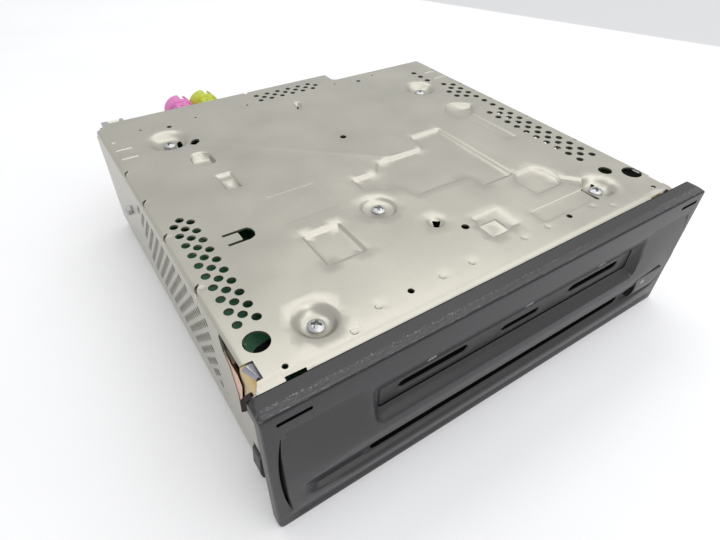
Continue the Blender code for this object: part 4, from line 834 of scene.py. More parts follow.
window_low = ((33.5, 47.5), (30.0, 44.7), (27.0, 34.0), (28.0, 24.0), (21.7, 32.5), (16.0, 45.0))
window_rear, window_front, window_fold = 34.5, 10.5, 0.55
# The part of each window in the lid's top; the first and last points lie on the fold
left_notch = ((-89.1, 12.4), (-88.6, 13.6), (-86.7, 13.8), (-86.7, 20.4))
left_notch_end = 20.6
right_notch = ((-88.7, 14.6), (-88.9, 20.4))
right_notch_start, right_notch_end = 13.8, 21.2


def window_outline(side):
    """The window near the front of each side, from the lid's top down across the fold."""
    edge = -(fold_start + fold_length * window_fold)
    lower = [(edge, from_front(window_rear)), *(flange_place(y, z) for y, z in window_low)]
    lower.append((edge, from_front(window_front)))
    if side < 0:
        return [*lower, *lid_places(left_notch), (edge, from_front(left_notch_end))]
    lower.append((edge, from_front(right_notch_start)))
    return mirrored([*lower, *lid_places(right_notch), (edge, from_front(right_notch_end))])


catch_front, catch_rear, catch_top = 15.4, 22.3, 15.5
front_notches = (
    [(-82.0, 7.9), (-82.0, 11.2), (-75.6, 11.2), (-75.6, 7.9)],
    [(76.5, 7.9), (76.5, 10.8), (87.0, 10.8), (87.0, 7.9)],
)
rear_notch = [(-15.0, 183.0), (-16.2, 181.2), (-17.4, 183.0)]


def lid_outline():
    reach = fold_start + fold_length + flange_length
    flange = [
        (-reach, from_front(catch_rear)), flange_place(catch_rear, catch_top),
        flange_place(catch_front, catch_top), (-reach, from_front(catch_front)), (-reach, lid_front),
    ]
    front = [(x, max(y, lid_front)) for notch in front_notches for x, y in lid_places(notch)]
    step_front = lid_rear - rear_step
    step_centre = (rear_step_x + rear_step_corner, step_front + rear_step_corner)
    step = [(reach, step_front), *arc(step_centre, rear_step_corner, 270, 180, 5), (rear_step_x, lid_rear)]
    corner_y = lid_rear - corner_side * 1.1
    corner_x = fold_start + fold_length + rear_step_corner
    corner = [
        (corner_side - fold_start, lid_rear), (-fold_start, corner_y), (-corner_x, corner_y),
        (-corner_x, lid_rear),
    ]
    left = [(-reach, lid_rear), *flange]
    return left + front + mirrored(flange)[::-1] + step + lid_places(rear_notch) + corner


def lip_fall(y, radius):
    """The front edge's turned down lip, as deep as its radius."""
    past = np.clip(lid_front + radius - y, 0, radius * 0.999)
    return radius - np.sqrt(radius**2 - past**2)


def lid_height(flat):
    """How far the sheet stands above its plane: the deepest pressing wins; ribs and the crease stand up."""
    x, y = flat.T
    rise = crease_height * np.exp(-((edge_distance(flat, crease_line, closed=False) / crease_width) ** 2))
    fall = deepest([pressing for pressing in pressings if pressing.depth > 0], flat)
    for pressing in pressings:
        if pressing.depth < 0:
            rise = np.maximum(rise, -pressing.drop(flat))
    long_wave = np.sin(x / (23 * mm) + 1.1) * np.sin(y / (31 * mm))
    wave = wave_height * (long_wave + 0.6 * np.sin(x / (57 * mm) - y / (41 * mm)))
    tab = np.clip((np.abs(x) - tab_start) / (tab_full - tab_start), 0, 1)
    lip = lip_fall(y, lip_radius) * (1 - tab) + lip_fall(y, tab_lip_radius) * tab
    bend = np.clip(lid_front + front_bend - y, 0, front_bend) ** 2 * front_bend_rate
    return rise - fall + wave - lip - bend


def lid_position(flat):
    height = lid_height(flat)
    past = np.abs(flat[:, 0]) - fold_start
    angle = np.clip(past / lid_fold, 0, math.pi / 2)
    across = np.minimum(np.abs(flat[:, 0]), fold_start) + (lid_fold + height) * np.sin(angle)
    up = lid_top - lid_fold + (lid_fold + height) * np.cos(angle) - np.maximum(past - fold_length, 0)
    return np.column_stack([np.sign(flat[:, 0]) * across, flat[:, 1], up])


def build_lid():
    left_holes = side_holes()
    holes = lid_holes() + left_holes + [mirrored(hole) for hole in left_holes]
    holes += [window_outline(-1), window_outline(1)]
    lines = [ring for pressing in pressings for ring in pressing.rings()]
    for side, rear in ((-1, lid_rear), (1, lid_rear - rear_step)):
        for share in (0, 0.25, 0.5, 0.75, 1):
            across = side * (fold_start + fold_length * share)
            lines.append(([(across, y) for y in np.linspace(lid_front, rear, 41)], False))
    for share in (0.35, 0.65, 0.85, 1.0):
        along = lid_front + lip_radius * (1 - math.cos(share * math.pi / 2))
        lines.append(([(x * mm, along) for x in range(-74, 75, 4)], False))
    start, end = (Vector(point) for point in crease_line)
    normal = Vector((start.y - end.y, end.x - start.x)).normalized()
    for offset in (-2.4, -1.2, 0, 1.2, 2.4):
        lines.append(([tuple(start.lerp(end, k / 30) + normal * offset * mm) for k in range(31)], False))
    flat, faces = lay_out(lid_outline(), holes, lines, 3.0 * mm)
    shape = Shape()
    shape.faces(lid_position(flat), faces)
    belong(shape.object("lid", looks["lid_steel"], 40.0, lid_sheet), "case", "steel_sheet", "top_cover")


# Moulded front: x across, z up, and depths back from the front plane
front_half, front_top = 94.0, 57.4
edge_inset, lower_corner, upper_corner = 1.0, 0.8, 0.3
front_back = 2.98
rim_side, rim_end, rim_corner = 7.0, 3.2, 1.5
# The wall round the front, in steps of 1 outwards from its inset outline: how far out and how far back
side_edge = (
    (0, 0), (0.42, 0.09), (0.74, 0.30), (0.93, 0.62), (1.0, 1.0), (1.0, 1.3), (1.0, 1.7), (1.0, 2.6),
    (1.0, 3.4), (1.0, 4.2), (1.0, 4.3), (1.0, 7.6),
)
top_edge = (
    (0, 0), (0.20, 0.02), (0.34, 0.16), (0.22, 0.42), (0.20, 0.60), (0.46, 0.74), (0.60, 1.0), (0.80, 1.9),
    (0.96, 2.8), (1.0, 3.2), (1.0, 4.6), (1.0, 7.6),
)
bottom_edge = (
    (0, 0), (0.50, 0.02), (0.82, 0.08), (0.95, 0.20), (1.0, 0.42), (1.0, 1.0), (1.0, 1.7), (1.0, 2.6),
    (1.0, 3.4), (1.0, 4.4), (1.0, 5.6), (1.0, 7.6),
)
edge_steps = len(side_edge) - 1
side_step, side_step_top = 2.4, 51.5

# Profiles of the face: height, and how far back. The panel, the card recess and the funnel of the disc slot
panel_profile = (
    (50.0, 0.34), (48.2, 0.34), (46.0, 0.16), (42.0, -0.36), (38.0, -0.94), (34.0, -1.48), (30.0, -1.94),
    (28.0, -2.12), (26.6, -2.18), (24.0, -2.14), (20.0, -2.02), (14.0, -1.80), (11.0, -1.66), (9.4, -1.50),
    (8.2, -1.22), (7.0, -0.80), (5.8, -0.26), (4.8, 0.16), (4.0, 0.40), (3.4, 0.44), (2.6, 0.26), (1.8, 0.04),
    (1.0, 0),
)
middle_profile = (
    (57.4, 0), (50.0, 0), (48.6, 0.03), (47.0, 0.16), (45.5, 0.48), (43.8, 1.05), (42.4, 1.55), (41.0, 1.70),
    (34.0, 1.70), (33.1, 1.62), (32.6, 1.30), (30.3, -1.76), (29.9, -1.96), (28.9, -2.04), (26.0, -2.18),
)
funnel_profile = (
    (27.2, -2.4), (26.4, -2.16), (25.6, -2.02), (24.4, -1.84), (23.0, -1.62), (21.4, -1.34), (20.6, -1.12),
    (20.0, -0.80), (18.4, 0.30), (17.6, 0.62), (13.9, 0.62), (13.6, 0.20), (13.3, -0.45), (12.9, -1.05),
    (12.5, -1.44), (12.0, -1.66), (11.0, -1.9),
)

# The panel's sides bulge outwards at half height, and the rim beside them a little more: pockets open between
bulge_middle, bulge_half = 28.0, 19.0
panel_half, panel_bulge = 89.4, 1.0
rim_half, rim_bulge = 89.6, 1.9
pocket_depth, pocket_wall = 2.4, 0.16
panel_top, panel_corner, panel_foot = 48.5, 3.0, (1.2, 2.0)
panel_corner_edge = (2.75, 3.1)
# The panel stands out less towards its ends: by how much, and between which places
end_fade, end_fade_start, end_fade_end = 0.5, 66.0, 91.0

# Ends of the card recess and of the funnel: height, and how far across
recess_end = ((29.0, 55.0), (30.4, 58.9), (31.5, 60.4), (33.5, 61.4), (38.0, 62.1), (47.0, 62.4))
recess_slope = ((30.0, 2.6), (34.0, 3.3), (47.0, 3.6))
recess_low, recess_high, recess_depth = 29.2, 48.6, 1.72
brow_low, brow_start, brow_end = 47.0, 66.0, 61.8
funnel_left = ((13.0, 83.6), (14.4, 85.2), (19.2, 86.9), (24.0, 86.6), (26.7, 85.0))
funnel_right = ((13.0, 84.0), (15.0, 85.0), (17.0, 85.6), (19.5, 85.8), (22.5, 85.6), (26.0, 84.8))
funnel_left_slope, funnel_right_slope = 5.0, 2.6


def front_relief(x, z):
    """How far the face of the front stands back from its plane."""
    across = np.abs(x)
    panel = softened(panel_profile, z, 0.45)
    panel = np.where(panel < 0, panel * (1 - end_fade * ramp_up(end_fade_start, end_fade_end, across)), panel)
    bulge = np.clip(1 - ((z - bulge_middle) / bulge_half) ** 2, 0, 1)
    panel_edge = panel_half + panel_bulge * bulge
    rim_edge = rim_half + rim_bulge * bulge
    # The panel fades into the frame at its top and sides, with rounded upper corners
    corner_x = np.maximum(across - (panel_edge - panel_corner), 0)
    corner_z = np.maximum(z - (panel_top - panel_corner), 0)
    outer = ramp_up(*panel_corner_edge, np.hypot(corner_x, corner_z))
    depth = panel * ((1 - outer) * ramp_up(*panel_foot, z))
    # Card recess, with the brow over it
    middle = softened(middle_profile, z, 0.15)
    end = read_profile(recess_end, z)
    slope = np.clip((end - across) / read_profile(recess_slope, z), 0, 1)
    side_ramp = panel + (recess_depth - panel) * slope
    recess = np.where((z < recess_high) & (z > recess_low), np.minimum(middle, side_ramp), depth)
    depth = np.where(across < end, np.maximum(depth, recess), depth)
    fade = ramp_up(brow_start, brow_end, across)
    brow = depth * (1 - fade) + np.maximum(middle, 0) * fade
    depth = np.where((across < brow_start) & (z > brow_low), brow, depth)
    # Funnel that leads into the disc slot
    end = np.where(x < 0, read_profile(funnel_left, z), read_profile(funnel_right, z))
    in_funnel = smooth_step((end - across) / np.where(x < 0, funnel_left_slope, funnel_right_slope))
    depth = depth + np.maximum(softened(funnel_profile, z, 0.25) - depth, 0) * in_funnel
    # Pockets between the panel and the rim at both sides
    in_pocket = ramp_up(panel_edge, panel_edge + pocket_wall, across)
    in_pocket *= ramp_up(rim_edge, rim_edge - pocket_wall, across) * (bulge > 0.02)
    return depth * (1 - in_pocket) + pocket_depth * in_pocket


def bulge_line(half, bulge, sides=24):
    shares = [k / sides for k in range(sides + 1)]
    low = bulge_middle - bulge_half
    return [(half + bulge * (1 - (2 * share - 1) ** 2), low + 2 * bulge_half * share) for share in shares]


def front_inner_outline():
    right, low, high = front_half - edge_inset, edge_inset, front_top - edge_inset
    lower = arc((right - lower_corner, low + lower_corner), lower_corner, 270, 360, 4)
    upper = arc((right - upper_corner, high - upper_corner), upper_corner, 0, 90, 3)
    return lower + upper + mirrored(lower + upper)[::-1]


def edge_place(flat):
    """Places of flat points: the face of the front, or the wall round it beyond the inset outline."""
    flat = np.asarray(flat) / mm
    inner = front_inner_outline()
    nearest = np.full(len(flat), np.inf)
    foot = np.zeros_like(flat)
    for _, _, gap in edge_gaps(flat, inner):
        away = np.hypot(*gap.T)
        closer = away < nearest
        nearest[closer] = away[closer]
        foot[closer] = (flat - gap)[closer]
    outside = ~inside(flat, inner) & (nearest > 1e-4)
    normal = np.zeros_like(flat)
    normal[outside] = (flat[outside] - foot[outside]) / nearest[outside, None]
    far = np.where(outside, nearest, 0)
    upward, downward = (np.clip(turn * normal[:, 1], 0, 1) ** 2 for turn in (1, -1))
    sideways = 1 - upward - downward
    lateral, back = np.zeros((2, len(flat)))
    for profile, share in ((side_edge, sideways), (top_edge, upward), (bottom_edge, downward)):
        outwards, backwards = (np.interp(far, range(edge_steps + 1), column) for column in zip(*profile))
        lateral += outwards * share
        back += backwards * share
    stepped_in = (far > edge_steps - 2) & (foot[:, 1] < side_step_top)
    step_share = np.interp(far, [edge_steps - 2, edge_steps - 1], [0, 1])
    lateral -= np.where(stepped_in, side_step * step_share * sideways, 0)
    base = np.where(outside[:, None], foot, flat)
    spots = base + normal * lateral[:, None]
    return np.column_stack(unit_place(spots[:, 0], front_relief(*base.T) + back, spots[:, 1]))


key_slot = (80.0, 90.0, 52.6, 54.0)
disc_slot = (-61.3, 61.3, 13.95, 17.45)
button_gap, plate_gap = 0.22, 0.28
plate_left, plate_right, plate_bottom, plate_top = -58.0, 58.0, 33.5, 41.7
plate_hole_top = 42.0
button_outline = [
    (65.7, 25.2), (67.2, 22.2), (67.8, 19.2), (67.4, 16.8), (65.9, 15.25), (70.0, 15.2), (76.0, 15.2),
    (80.0, 15.6), (82.5, 17.4), (83.35, 20.2), (83.2, 25.2),
]
button_outline = rounded(button_outline, 0.8)
# Heights of the lines that the mesh of the front follows
panel_heights = (48.2, 48.5, 49.4, 47.0, 45.5, 43.8)
recess_heights = (
    32.6, 31.6, 30.9, 30.4, 30.15, 29.9, 29.4, 28.6, 27.6, 26.6, 26.0, 25.4, 24.6, 23.4, 21.8, 20.9, 20.3,
    19.4, 18.3,
)
lower_heights = (13.9, 13.5, 13.1, 12.6, 11.8, 10.6, 9.4, 8.2, 7.0, 5.6, 4.8, 4.2, 3.6, 3.0, 2.4, 1.8)


def front_holes():
    sides = (
        plate_left - plate_gap, plate_right + plate_gap, plate_bottom - plate_gap, plate_hole_top + plate_gap
    )
    left, right, low, high = key_slot
    keys = [rounded(rectangle(*ends, low, high), 0.25, 2) for ends in ((left, right), (-right, -left))]
    button_hole = drawn_in(button_outline, -button_gap)
    return [rounded(rectangle(*sides), 1.2), slot_outline(*disc_slot), button_hole, *keys]


def front_lines():
    lines = []

    def follow(points, side=1, inward=0.0):
        lines.append(([(side * (x - inward), z) for x, z in points], False))

    xs = np.concatenate([np.arange(-92, -56, 3.0), np.arange(-56, 57, 5.0), np.arange(58, 93, 3.0)])
    wide, narrow = ([x for x in xs if abs(x) < half] for half in (89, 63))
    for z in panel_heights:
        follow([(x, z) for x in wide])
    for z in recess_heights:
        follow([(x, z) for x in narrow])
        follow([(x, z) for x in np.arange(-88.8, -62, 2.4)])
        if z > 26:
            follow([(x, z) for x in np.arange(63, 89, 3.0)])
    for z in lower_heights:
        follow([(x, z) for x in wide])
    for side in (-1, 1):
        for inward in (0.3, 0.0, -pocket_wall):
            follow(bulge_line(panel_half, panel_bulge), side, inward)
        for inward in (pocket_wall, 0.0, -0.3):
            follow(bulge_line(rim_half, rim_bulge), side, inward)
        for inward in (0.0, 0.7, 1.4, 2.2, 3.0):
            follow([(x, z) for z, x in recess_end[:0:-1]], side, inward)
        for radius in (panel_corner, 2.7):
            follow(arc((panel_half - panel_corner, panel_top - panel_corner), radius, 0, 90, 6), side)
    for inward in (0.0, 1.2, 2.4, 3.6, 5.0):
        follow([(x, z) for z, x in funnel_left], -1, inward)
    for inward in (0.0, 0.7, 1.4):
        follow([(x, z) for z, x in funnel_right], 1, inward)
    return lines


def build_bezel():
    holes = front_holes()
    inner = front_inner_outline()
    outline = finely(drawn_in(inner, -float(edge_steps)), 2.5)
    rings = [(finely(drawn_in(inner, -float(step)), 2.5), True) for step in range(edge_steps)]
    hollow_side, hollow_top = front_half - rim_side, front_top - rim_end
    hollow = rounded(rectangle(-hollow_side, hollow_side, rim_end, hollow_top), rim_corner, 3)
    behind = at_level(1, front_back)
    at_rear = at_level(1, (bezel_high.y - front_y) / mm)
    shape = Shape()
    shape.sheet(edge_place, outline, 2.2, holes, rings + front_lines())
    shape.sheet(behind, hollow, 8, holes, flip=True)
    for hole in holes:
        shape.walls(hole, edge_place, behind)
    shape.walls(hollow, behind, at_rear)
    rear = [(x / mm, z / mm) for x, _, z in edge_place(in_metres(outline))]
    shape.sheet(at_rear, rear, 8, [hollow], flip=True)
    bezel = shape.object("front_moulding", looks["front_plastic"])
    # The walls of the openings get a near-black painted shade
    paint_shade_in_openings(bezel)
    belong(bezel, "case", "front_plastic", "bezel")


# Card plate with three slots that have bevelled lips, and the eject button with its curved face
plate_face, plate_rear = 1.8, 3.6
card_slots = ((-37.5, 13.5, 36.8, 40.2), (37.5, 13.5, 36.8, 40.2), (0.0, 8.75, 35.9, 38.7))
lip_depth, lip_width = 0.45, 0.7
plate_outline = rounded(rectangle(plate_left, plate_right, plate_bottom, plate_top), 1.0, 4)
card_openings = [
    slot_outline(middle - half, middle + half, low, high, 6) for middle, half, low, high in card_slots
]
button_rear = 1.6
button_profile = ((26.0, -2.02), (20.0, -1.98), (17.4, -1.86), (16.2, -1.62), (15.2, -1.25))
soft_edge_fall, soft_edge_width = 0.22, 0.3


def edge_fall(flat, outline):
    return soft_edge_fall * np.clip(1 - edge_distance(flat, outline) / soft_edge_width, 0, 1) ** 2


def plate_place(flat):
    flat = np.asarray(flat) / mm
    depth = plate_face + edge_fall(flat, plate_outline)
    for opening, (_, _, low, high) in zip(card_openings, card_slots):
        below = 1 - smooth_step((flat[:, 1] - (low + 0.8)) / (high - low - 1.2))
        reach = np.clip(1 - edge_distance(flat, opening) / lip_width, 0, 1)
        depth = depth + lip_depth * below * reach**1.3
    return np.column_stack(unit_place(flat[:, 0], depth, flat[:, 1]))


def button_place(flat):
    flat = np.asarray(flat) / mm
    depth = read_profile(button_profile, flat[:, 1]) + edge_fall(flat, button_outline)
    return np.column_stack(unit_place(flat[:, 0], depth, flat[:, 1]))


def relief_solid(name, place, outline, spacings, rear, holes=(), lines=()):
    """A piece with a relief in front, a flat back, and walls round its edge and its holes."""
    lines = [(drawn_in(outline, distance), True) for distance in (0.1, 0.2, soft_edge_width)] + list(lines)
    behind = at_level(1, rear)
    shape = Shape()
    shape.sheet(place, outline, spacings[0], holes, lines)
    shape.sheet(behind, outline, spacings[1], holes, flip=True)
    for loop in (outline, *holes):
        shape.walls(loop, place, behind)
    return shape.object(name, looks["plate_plastic"], 32.0)


def build_plate_and_button():
    lips = [(drawn_in(opening, -away), True) for opening in card_openings for away in (0.18, 0.36, lip_width)]
    plate = relief_solid(
        "card_slot_plate", plate_place, plate_outline, (1.6, 6), plate_rear, card_openings, lips
    )
    # The walls of the card openings get a near-black painted shade
    paint_shade_in_openings(plate)
    belong(plate, "case", "plate_plastic", "card_plate")
    button = relief_solid("eject_key", button_place, button_outline, (1.2, 4), button_rear)
    belong(button, "eject_button", "plate_plastic", "eject_button")


# Plain printed signs: a card over each card slot, and a triangle over a bar on the button
mark_height, mark_line = 0.03, 0.30
card_sign_height, card_sign_size = 44.6, 2.0
card_signs = {"left": -40.0, "middle": 1.0, "right": 38.0}
eject_sign_x, eject_sign_z, eject_sign_half = 71.8, 21.6, 1.3


def build_mark(name, outlines, surface, body):
    """A pale printed sign: thin flat shapes just proud of a surface."""
    shape = Shape()
    for outline in outlines:
        shape.sheet(lambda flat: surface(flat) - (0, mark_height * mm, 0), outline, 1.0)
    belong(shape.object(name, looks["print_grey"], wall=mark_height), body, "plate_plastic")


def card_sign(x, z, tall):
    """A card with a cut corner and three contacts, drawn as thin bars."""
    wide, line, cut = tall * 1.5, mark_line, tall * 0.35
    left, right, low, high = x - wide / 2, x + wide / 2, z - tall / 2, z + tall / 2
    bars = [
        rectangle(left, right, low, low + line),
        rectangle(left, left + line, low + line * 1.2, high),
        rectangle(left + line * 1.2, right - cut, high - line, high),
        rectangle(right - line, right, low + line * 1.2, high - cut),
        [(right - cut, high - line), (right - line, high - cut), (right, high - cut), (right - cut, high)],
    ]
    contact = tall * 0.2
    middles = [x + step for step in (-0.9, 0, 0.9)]
    return bars + [rectangle(at - line / 2, at + line / 2, z - contact, z + contact) for at in middles]


def add_marks():
    for name, x in card_signs.items():
        build_mark(f"card_sign_{name}", card_sign(x, card_sign_height, card_sign_size), edge_place, "case")
    left, right, z = eject_sign_x - eject_sign_half, eject_sign_x + eject_sign_half, eject_sign_z
    triangle = [(left, z), (right, z), (eject_sign_x, z + 1.5)]
    build_mark(
        "eject_sign", [triangle, rectangle(left, right, z - 0.75, z - 0.35)], button_place, "eject_button"
    )


# Pieces seen in the windows at the front corners, among them near-black blocks and a sheet that are painted
# shade
def patch(name, rows, wall, look, smooth=60.0):
    """A thick sheet over rows of places."""
    rows = np.array(rows)
    shape = Shape()
    shape.faces(rows.reshape(-1, 3), grid_faces(*rows.shape[:2], columns_closed=False))
    return shape.object(name, looks[look], smooth, wall, 0)


def along(points, steps):
    """Points spread evenly over a line through the given ones, rounded off where it turns."""
    points = np.array(points, float)
    lengths = np.concatenate([[0], np.cumsum(np.linalg.norm(np.diff(points, axis=0), axis=1))])
    places = np.linspace(0, lengths[-1], steps)
    made = np.column_stack([np.interp(places, lengths, column) for column in points.T])
    for _ in range(2):
        made[1:-1] = (made[:-2] + 2 * made[1:-1] + made[2:]) / 4
    return made


leaf_outline = [
    (33.0, 46.4), (31.0, 46.9), (28.2, 46.5), (24.6, 46.6), (21.9, 44.0), (24.2, 36.2), (27.3, 31.0),
    (27.1, 34.0), (30.0, 44.4),
]
tape_outline = [
    (27.5, 30.6), (24.3, 36.0), (16.4, 47.6), (14.6, 47.8), (15.9, 45.2), (21.8, 32.6), (27.6, 24.9)
]
# A thin near-black sheet on the board in the left window: painted shade
painted_board_shade_outline = [(-87.4, 20.5), (-78.0, 20.5), (-78.0, 28.2), (-83.4, 27.0), (-87.4, 23.4)]
bracket_outline = [(76.8, 8.2), (86.6, 8.2), (86.6, 10.9), (84.2, 11.6), (78.4, 11.6), (76.8, 10.9)]
# Near-black blocks between the board and the lid in each window: painted shade
left_painted_shade_block = rounded(rectangle(25.0, 46.0, 50.1, 53.5), 0.4, 2)
right_painted_shade_block = rounded(rectangle(20.5, 32.5, 50.1, 53.4), 0.4, 2)
# Name, axis, outline, ends along the axis, look and slot
left_strips = (
    ("copper_leaf_left", 0, rounded(leaf_outline, 0.5, 3), -90.45, -90.37, "copper_leaf", "spring_bronze"),
    ("corner_tape_left", 0, tape_outline, -90.3, -90.22, "tape_brown", "felt"),
)
# The left window's near-black block is painted shade
left_painted_shade_prism = ("painted_shade_block_left", 0, left_painted_shade_block, -89.7, -87.4, "opening_black", "black_plastic")
# The sheet on the board and the right block are near-black painted shade; the bracket is brass
corner_prisms = (
    ("painted_shade_on_board_left", 2, rounded(painted_board_shade_outline, 1.0, 3), 50.1, 50.6, "opening_black", "black_plastic"),
    ("painted_shade_block_right", 0, right_painted_shade_block, 81.0, 89.5, "opening_black", "black_plastic"),
    ("corner_bracket_right", 2, rounded(bracket_outline, 0.5, 3), 50.4, 52.6, "brass", "spring_bronze"),
)
clip_profile = (
    (-89.84, 34.0), (-89.84, 48.8), (-89.5, 50.8), (-88.6, 52.4), (-87.8, 53.1), (-86.9, 52.6), (-86.4, 51.0)
)
clip_shoulder, clip_ends = 51.0, (12.4, 23.4)
clip_swell_start, clip_swell_length = 11.0, 14.0
clip_sheet, tab_sheet = 0.1, 0.35
tab_rear = ((-90.2, 20.2, 52.7), (-89.3, 19.7, 54.2), (-88.9, 19.6, 54.4), (-86.8, 20.2, 53.7))
tab_front = ((-88.2, 15.0, 53.2), (-87.9, 14.7, 54.2), (-87.7, 14.6, 54.4), (-86.85, 13.9, 53.7))


def add_prisms(*rows):
    for name, axis, outline, near, far, look, slot_name in rows:
        belong(prism(name, axis, outline, near, far, look), "case", slot_name)


def add_clip():
    profile = along(clip_profile, 24)
    rows = []
    for y in np.linspace(*clip_ends, 12):
        swell = math.sin(math.pi * (y - clip_swell_start) / clip_swell_length) ** 0.5
        heights = [min(z, clip_shoulder) + max(0.0, z - clip_shoulder) * swell for _, z in profile]
        rows.append([unit_place(x, y, z) for (x, _), z in zip(profile, heights)])
    belong(patch("brass_clip_left", rows, clip_sheet, "brass"), "case", "spring_bronze")


def add_tab():
    rear_line, front_line = along(tab_rear, 11), along(tab_front, 11)
    lines = [rear_line + (front_line - rear_line) * share for share in np.linspace(0, 1, 8)]
    rows = [[unit_place(*spot) for spot in line] for line in lines]
    belong(patch("lid_tab_left", rows, tab_sheet, "tab_steel", 30.0), "case", "bright_steel")


def build_window_pieces():
    add_prisms(*left_strips)
    add_clip()
    add_prisms(left_painted_shade_prism)
    add_tab()
    add_prisms(*corner_prisms)


# The sprung catch of each side: a wedge that leans out of the slot in the flange
catch_wedge = (
    (-88.9, 14.6), (-90.9, 14.6), (-91.5, 13.4), (-92.1, 5.6), (-91.7, 3.2), (-90.6, 1.4), (-88.9, 0.9)
)
catch_ends = (16.3, 21.7)


def build_catches():
    for name, outline in (("left", list(catch_wedge)), ("right", mirrored(catch_wedge))):
        catch = prism(f"catch_wedge_{name}", 1, rounded(outline, 0.5, 3), *catch_ends, "black_plastic", 1.5)
        belong(catch, f"lock_{name}", "black_plastic", f"lock_catch_{name}")


# Coaxial sockets' shrouds, laid out as (way round, y): flared at the rear, ribbed, with a notch and windows
shroud_front, shroud_rear, shroud_height = 183.4, 198.62, 47.4
shroud_radius, shroud_wall = 6.35, 0.9
shroud_ribs = ((-0.42, 0.10), (0.30, 0.10), (1.15, 0.12), (-1.35, 0.12), (2.4, 0.12), (-2.4, 0.12))
notch_middle, notch_half, notch_front = 0.34 * shroud_radius, 1.35, 192.6
shroud_windows = ((-0.6, 187.0), (4.6, 186.6), (-5.4, 188.6))
shroud_line_places = (190.6, 191.0, 191.4, 191.8, 192.2, 198.02, 198.32)
# Radius ahead of the flare; then the flare, the bevel at the rear and the ribs: rise, start and length
shroud_tube, shroud_flare, shroud_bevel = 5.2, (1.1, 191.2, 0.9), (0.3, 197.92, 0.7)
shroud_rib, shroud_rib_edge = (0.6, 190.6, 0.7), 0.05
core_profile = (
    (1.9, 183.4), (5.0, 183.4), (5.0, 185.2), (4.4, 185.4), (2.9, 185.4), (2.9, 190.5), (2.5, 190.8),
    (1.9, 190.8),
)


def shroud_shape(angle, y):
    """The outer radius; the angle is from the top, to the right."""
    steps = (shroud_flare, shroud_bevel, shroud_rib)
    flare, bevel, rib = (rise * smooth_step((y - start) / length) for rise, start, length in steps)
    radius = shroud_tube + flare - bevel
    for middle, half in shroud_ribs:
        across = (half + shroud_rib_edge - np.abs(angle - middle)) / shroud_rib_edge
        radius = radius + (shroud_rib[0] - rib) * smooth_step(across)
    return radius


def lathe(name, profile, centre, look, sides=40):
    """A solid of revolution about a line that runs front to rear; the profile is (radius, y)."""
    spots = []
    for step in range(sides):
        turn = math.tau * step / sides
        spots += [
            unit_place(centre[0] + r * math.cos(turn), y, centre[1] + r * math.sin(turn)) for r, y in profile
        ]
    shape = Shape()
    shape.faces(spots, grid_faces(sides, len(profile), rows_closed=True), flip=True)
    return shape.object(name, looks[look], 35.0)


def build_shrouds():
    half = math.pi * shroud_radius
    notch_left, notch_right = notch_middle - notch_half, notch_middle + notch_half
    outline = [
        (-half, shroud_front), (half, shroud_front), (half, shroud_rear), (notch_right, shroud_rear),
        (notch_right, notch_front), (notch_left, notch_front), (notch_left, shroud_rear),
        (-half, shroud_rear),
    ]
    windows = [slot_outline(x - 0.9, x + 0.9, y - 0.45, y + 0.45, 4) for x, y in shroud_windows]
    lines = []
    for y in shroud_line_places:
        pieces = [(-half, notch_left), (notch_right, half)] if y > notch_front else [(-half, half)]
        lines += [([(x, y) for x in np.linspace(low + 0.4, high - 0.4, 50)], False) for low, high in pieces]
    for name in ("pink", "lime"):
        low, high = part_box(f"coax_shroud_{name}")
        centre = (low.x + high.x) / 2 / mm

        def place(flat, centre=centre):
            flat = np.asarray(flat) / mm
            angle = flat[:, 0] / shroud_radius
            radius = shroud_shape(angle, flat[:, 1])
            x = centre + radius * np.sin(angle)
            return np.column_stack(unit_place(x, flat[:, 1], shroud_height + radius * np.cos(angle)))

        shape = Shape()
        shape.sheet(place, finely(outline, 1.0), 0.9, windows, lines, flip=True)
        shroud = shape.object(f"shroud_{name}", looks[f"{name}_plastic"], 40.0, shroud_wall)
        core = lathe(f"shroud_base_{name}", core_profile, (centre, shroud_height), "white_plastic")
        belong(shroud, "case", f"{name}_plastic", f"coax_shroud_{name}")
        belong(core, "case", "white_plastic")


def socket_block(name, sides, outline, holes, depth, look):
    """A block from front to rear with pockets in its rear face."""
    front, rear, floor = (at_level(1, y) for y in (*sides, sides[1] - depth))
    outer = rounded(outline, 0.5, 3)
    shape = Shape()
    shape.sheet(rear, outer, 3, holes, flip=True)
    shape.sheet(front, outer, 3)
    shape.walls(outer, front, rear)
    for hole in holes:
        shape.walls(hole, rear, floor)
        shape.sheet(floor, hole, 3, flip=True)
    return shape.object(name, looks[look])


# Data socket at the rear left corner: an ivory core with contact holes between two steel flanks
data_front, data_rear, flank_rear = 178.0, 192.9, 192.7
data_core = (-83.4, -78.2, 38.6, 51.3)
data_contacts = [(x, z) for x in (-82.1, -79.5) for z in (40.6, 43.2, 45.8, 48.4)]
contact_half, contact_depth = 0.75, 6.0
flanks = {"left": (-86.4, -83.5), "right": (-78.1, -76.3)}
flank_low, flank_high, flank_wall = 38.1, 51.5, 0.4
flank_end_wall, flank_depth = 0.9, 8.0


def build_data_socket():
    square = rectangle(-contact_half, contact_half, -contact_half, contact_half)
    holes = [[(x + across, z + up) for across, up in square] for x, z in data_contacts]
    sides = (data_front, data_rear)
    core = socket_block("data_socket", sides, rectangle(*data_core), holes, contact_depth, "ivory_plastic")
    belong(core, "case", slot_of["data_connector"], "data_connector")
    sides = (data_front, flank_rear)
    pocket_low, pocket_high = flank_low + flank_end_wall, flank_high - flank_end_wall
    for name, (left, right) in flanks.items():
        pocket = rectangle(left + flank_wall, right - flank_wall, pocket_low, pocket_high)
        outline = rectangle(left, right, flank_low, flank_high)
        name = f"data_socket_flank_{name}"
        flank = socket_block(name, sides, outline, [pocket], flank_depth, "bright_steel")
        belong(flank, "case", "bright_steel")


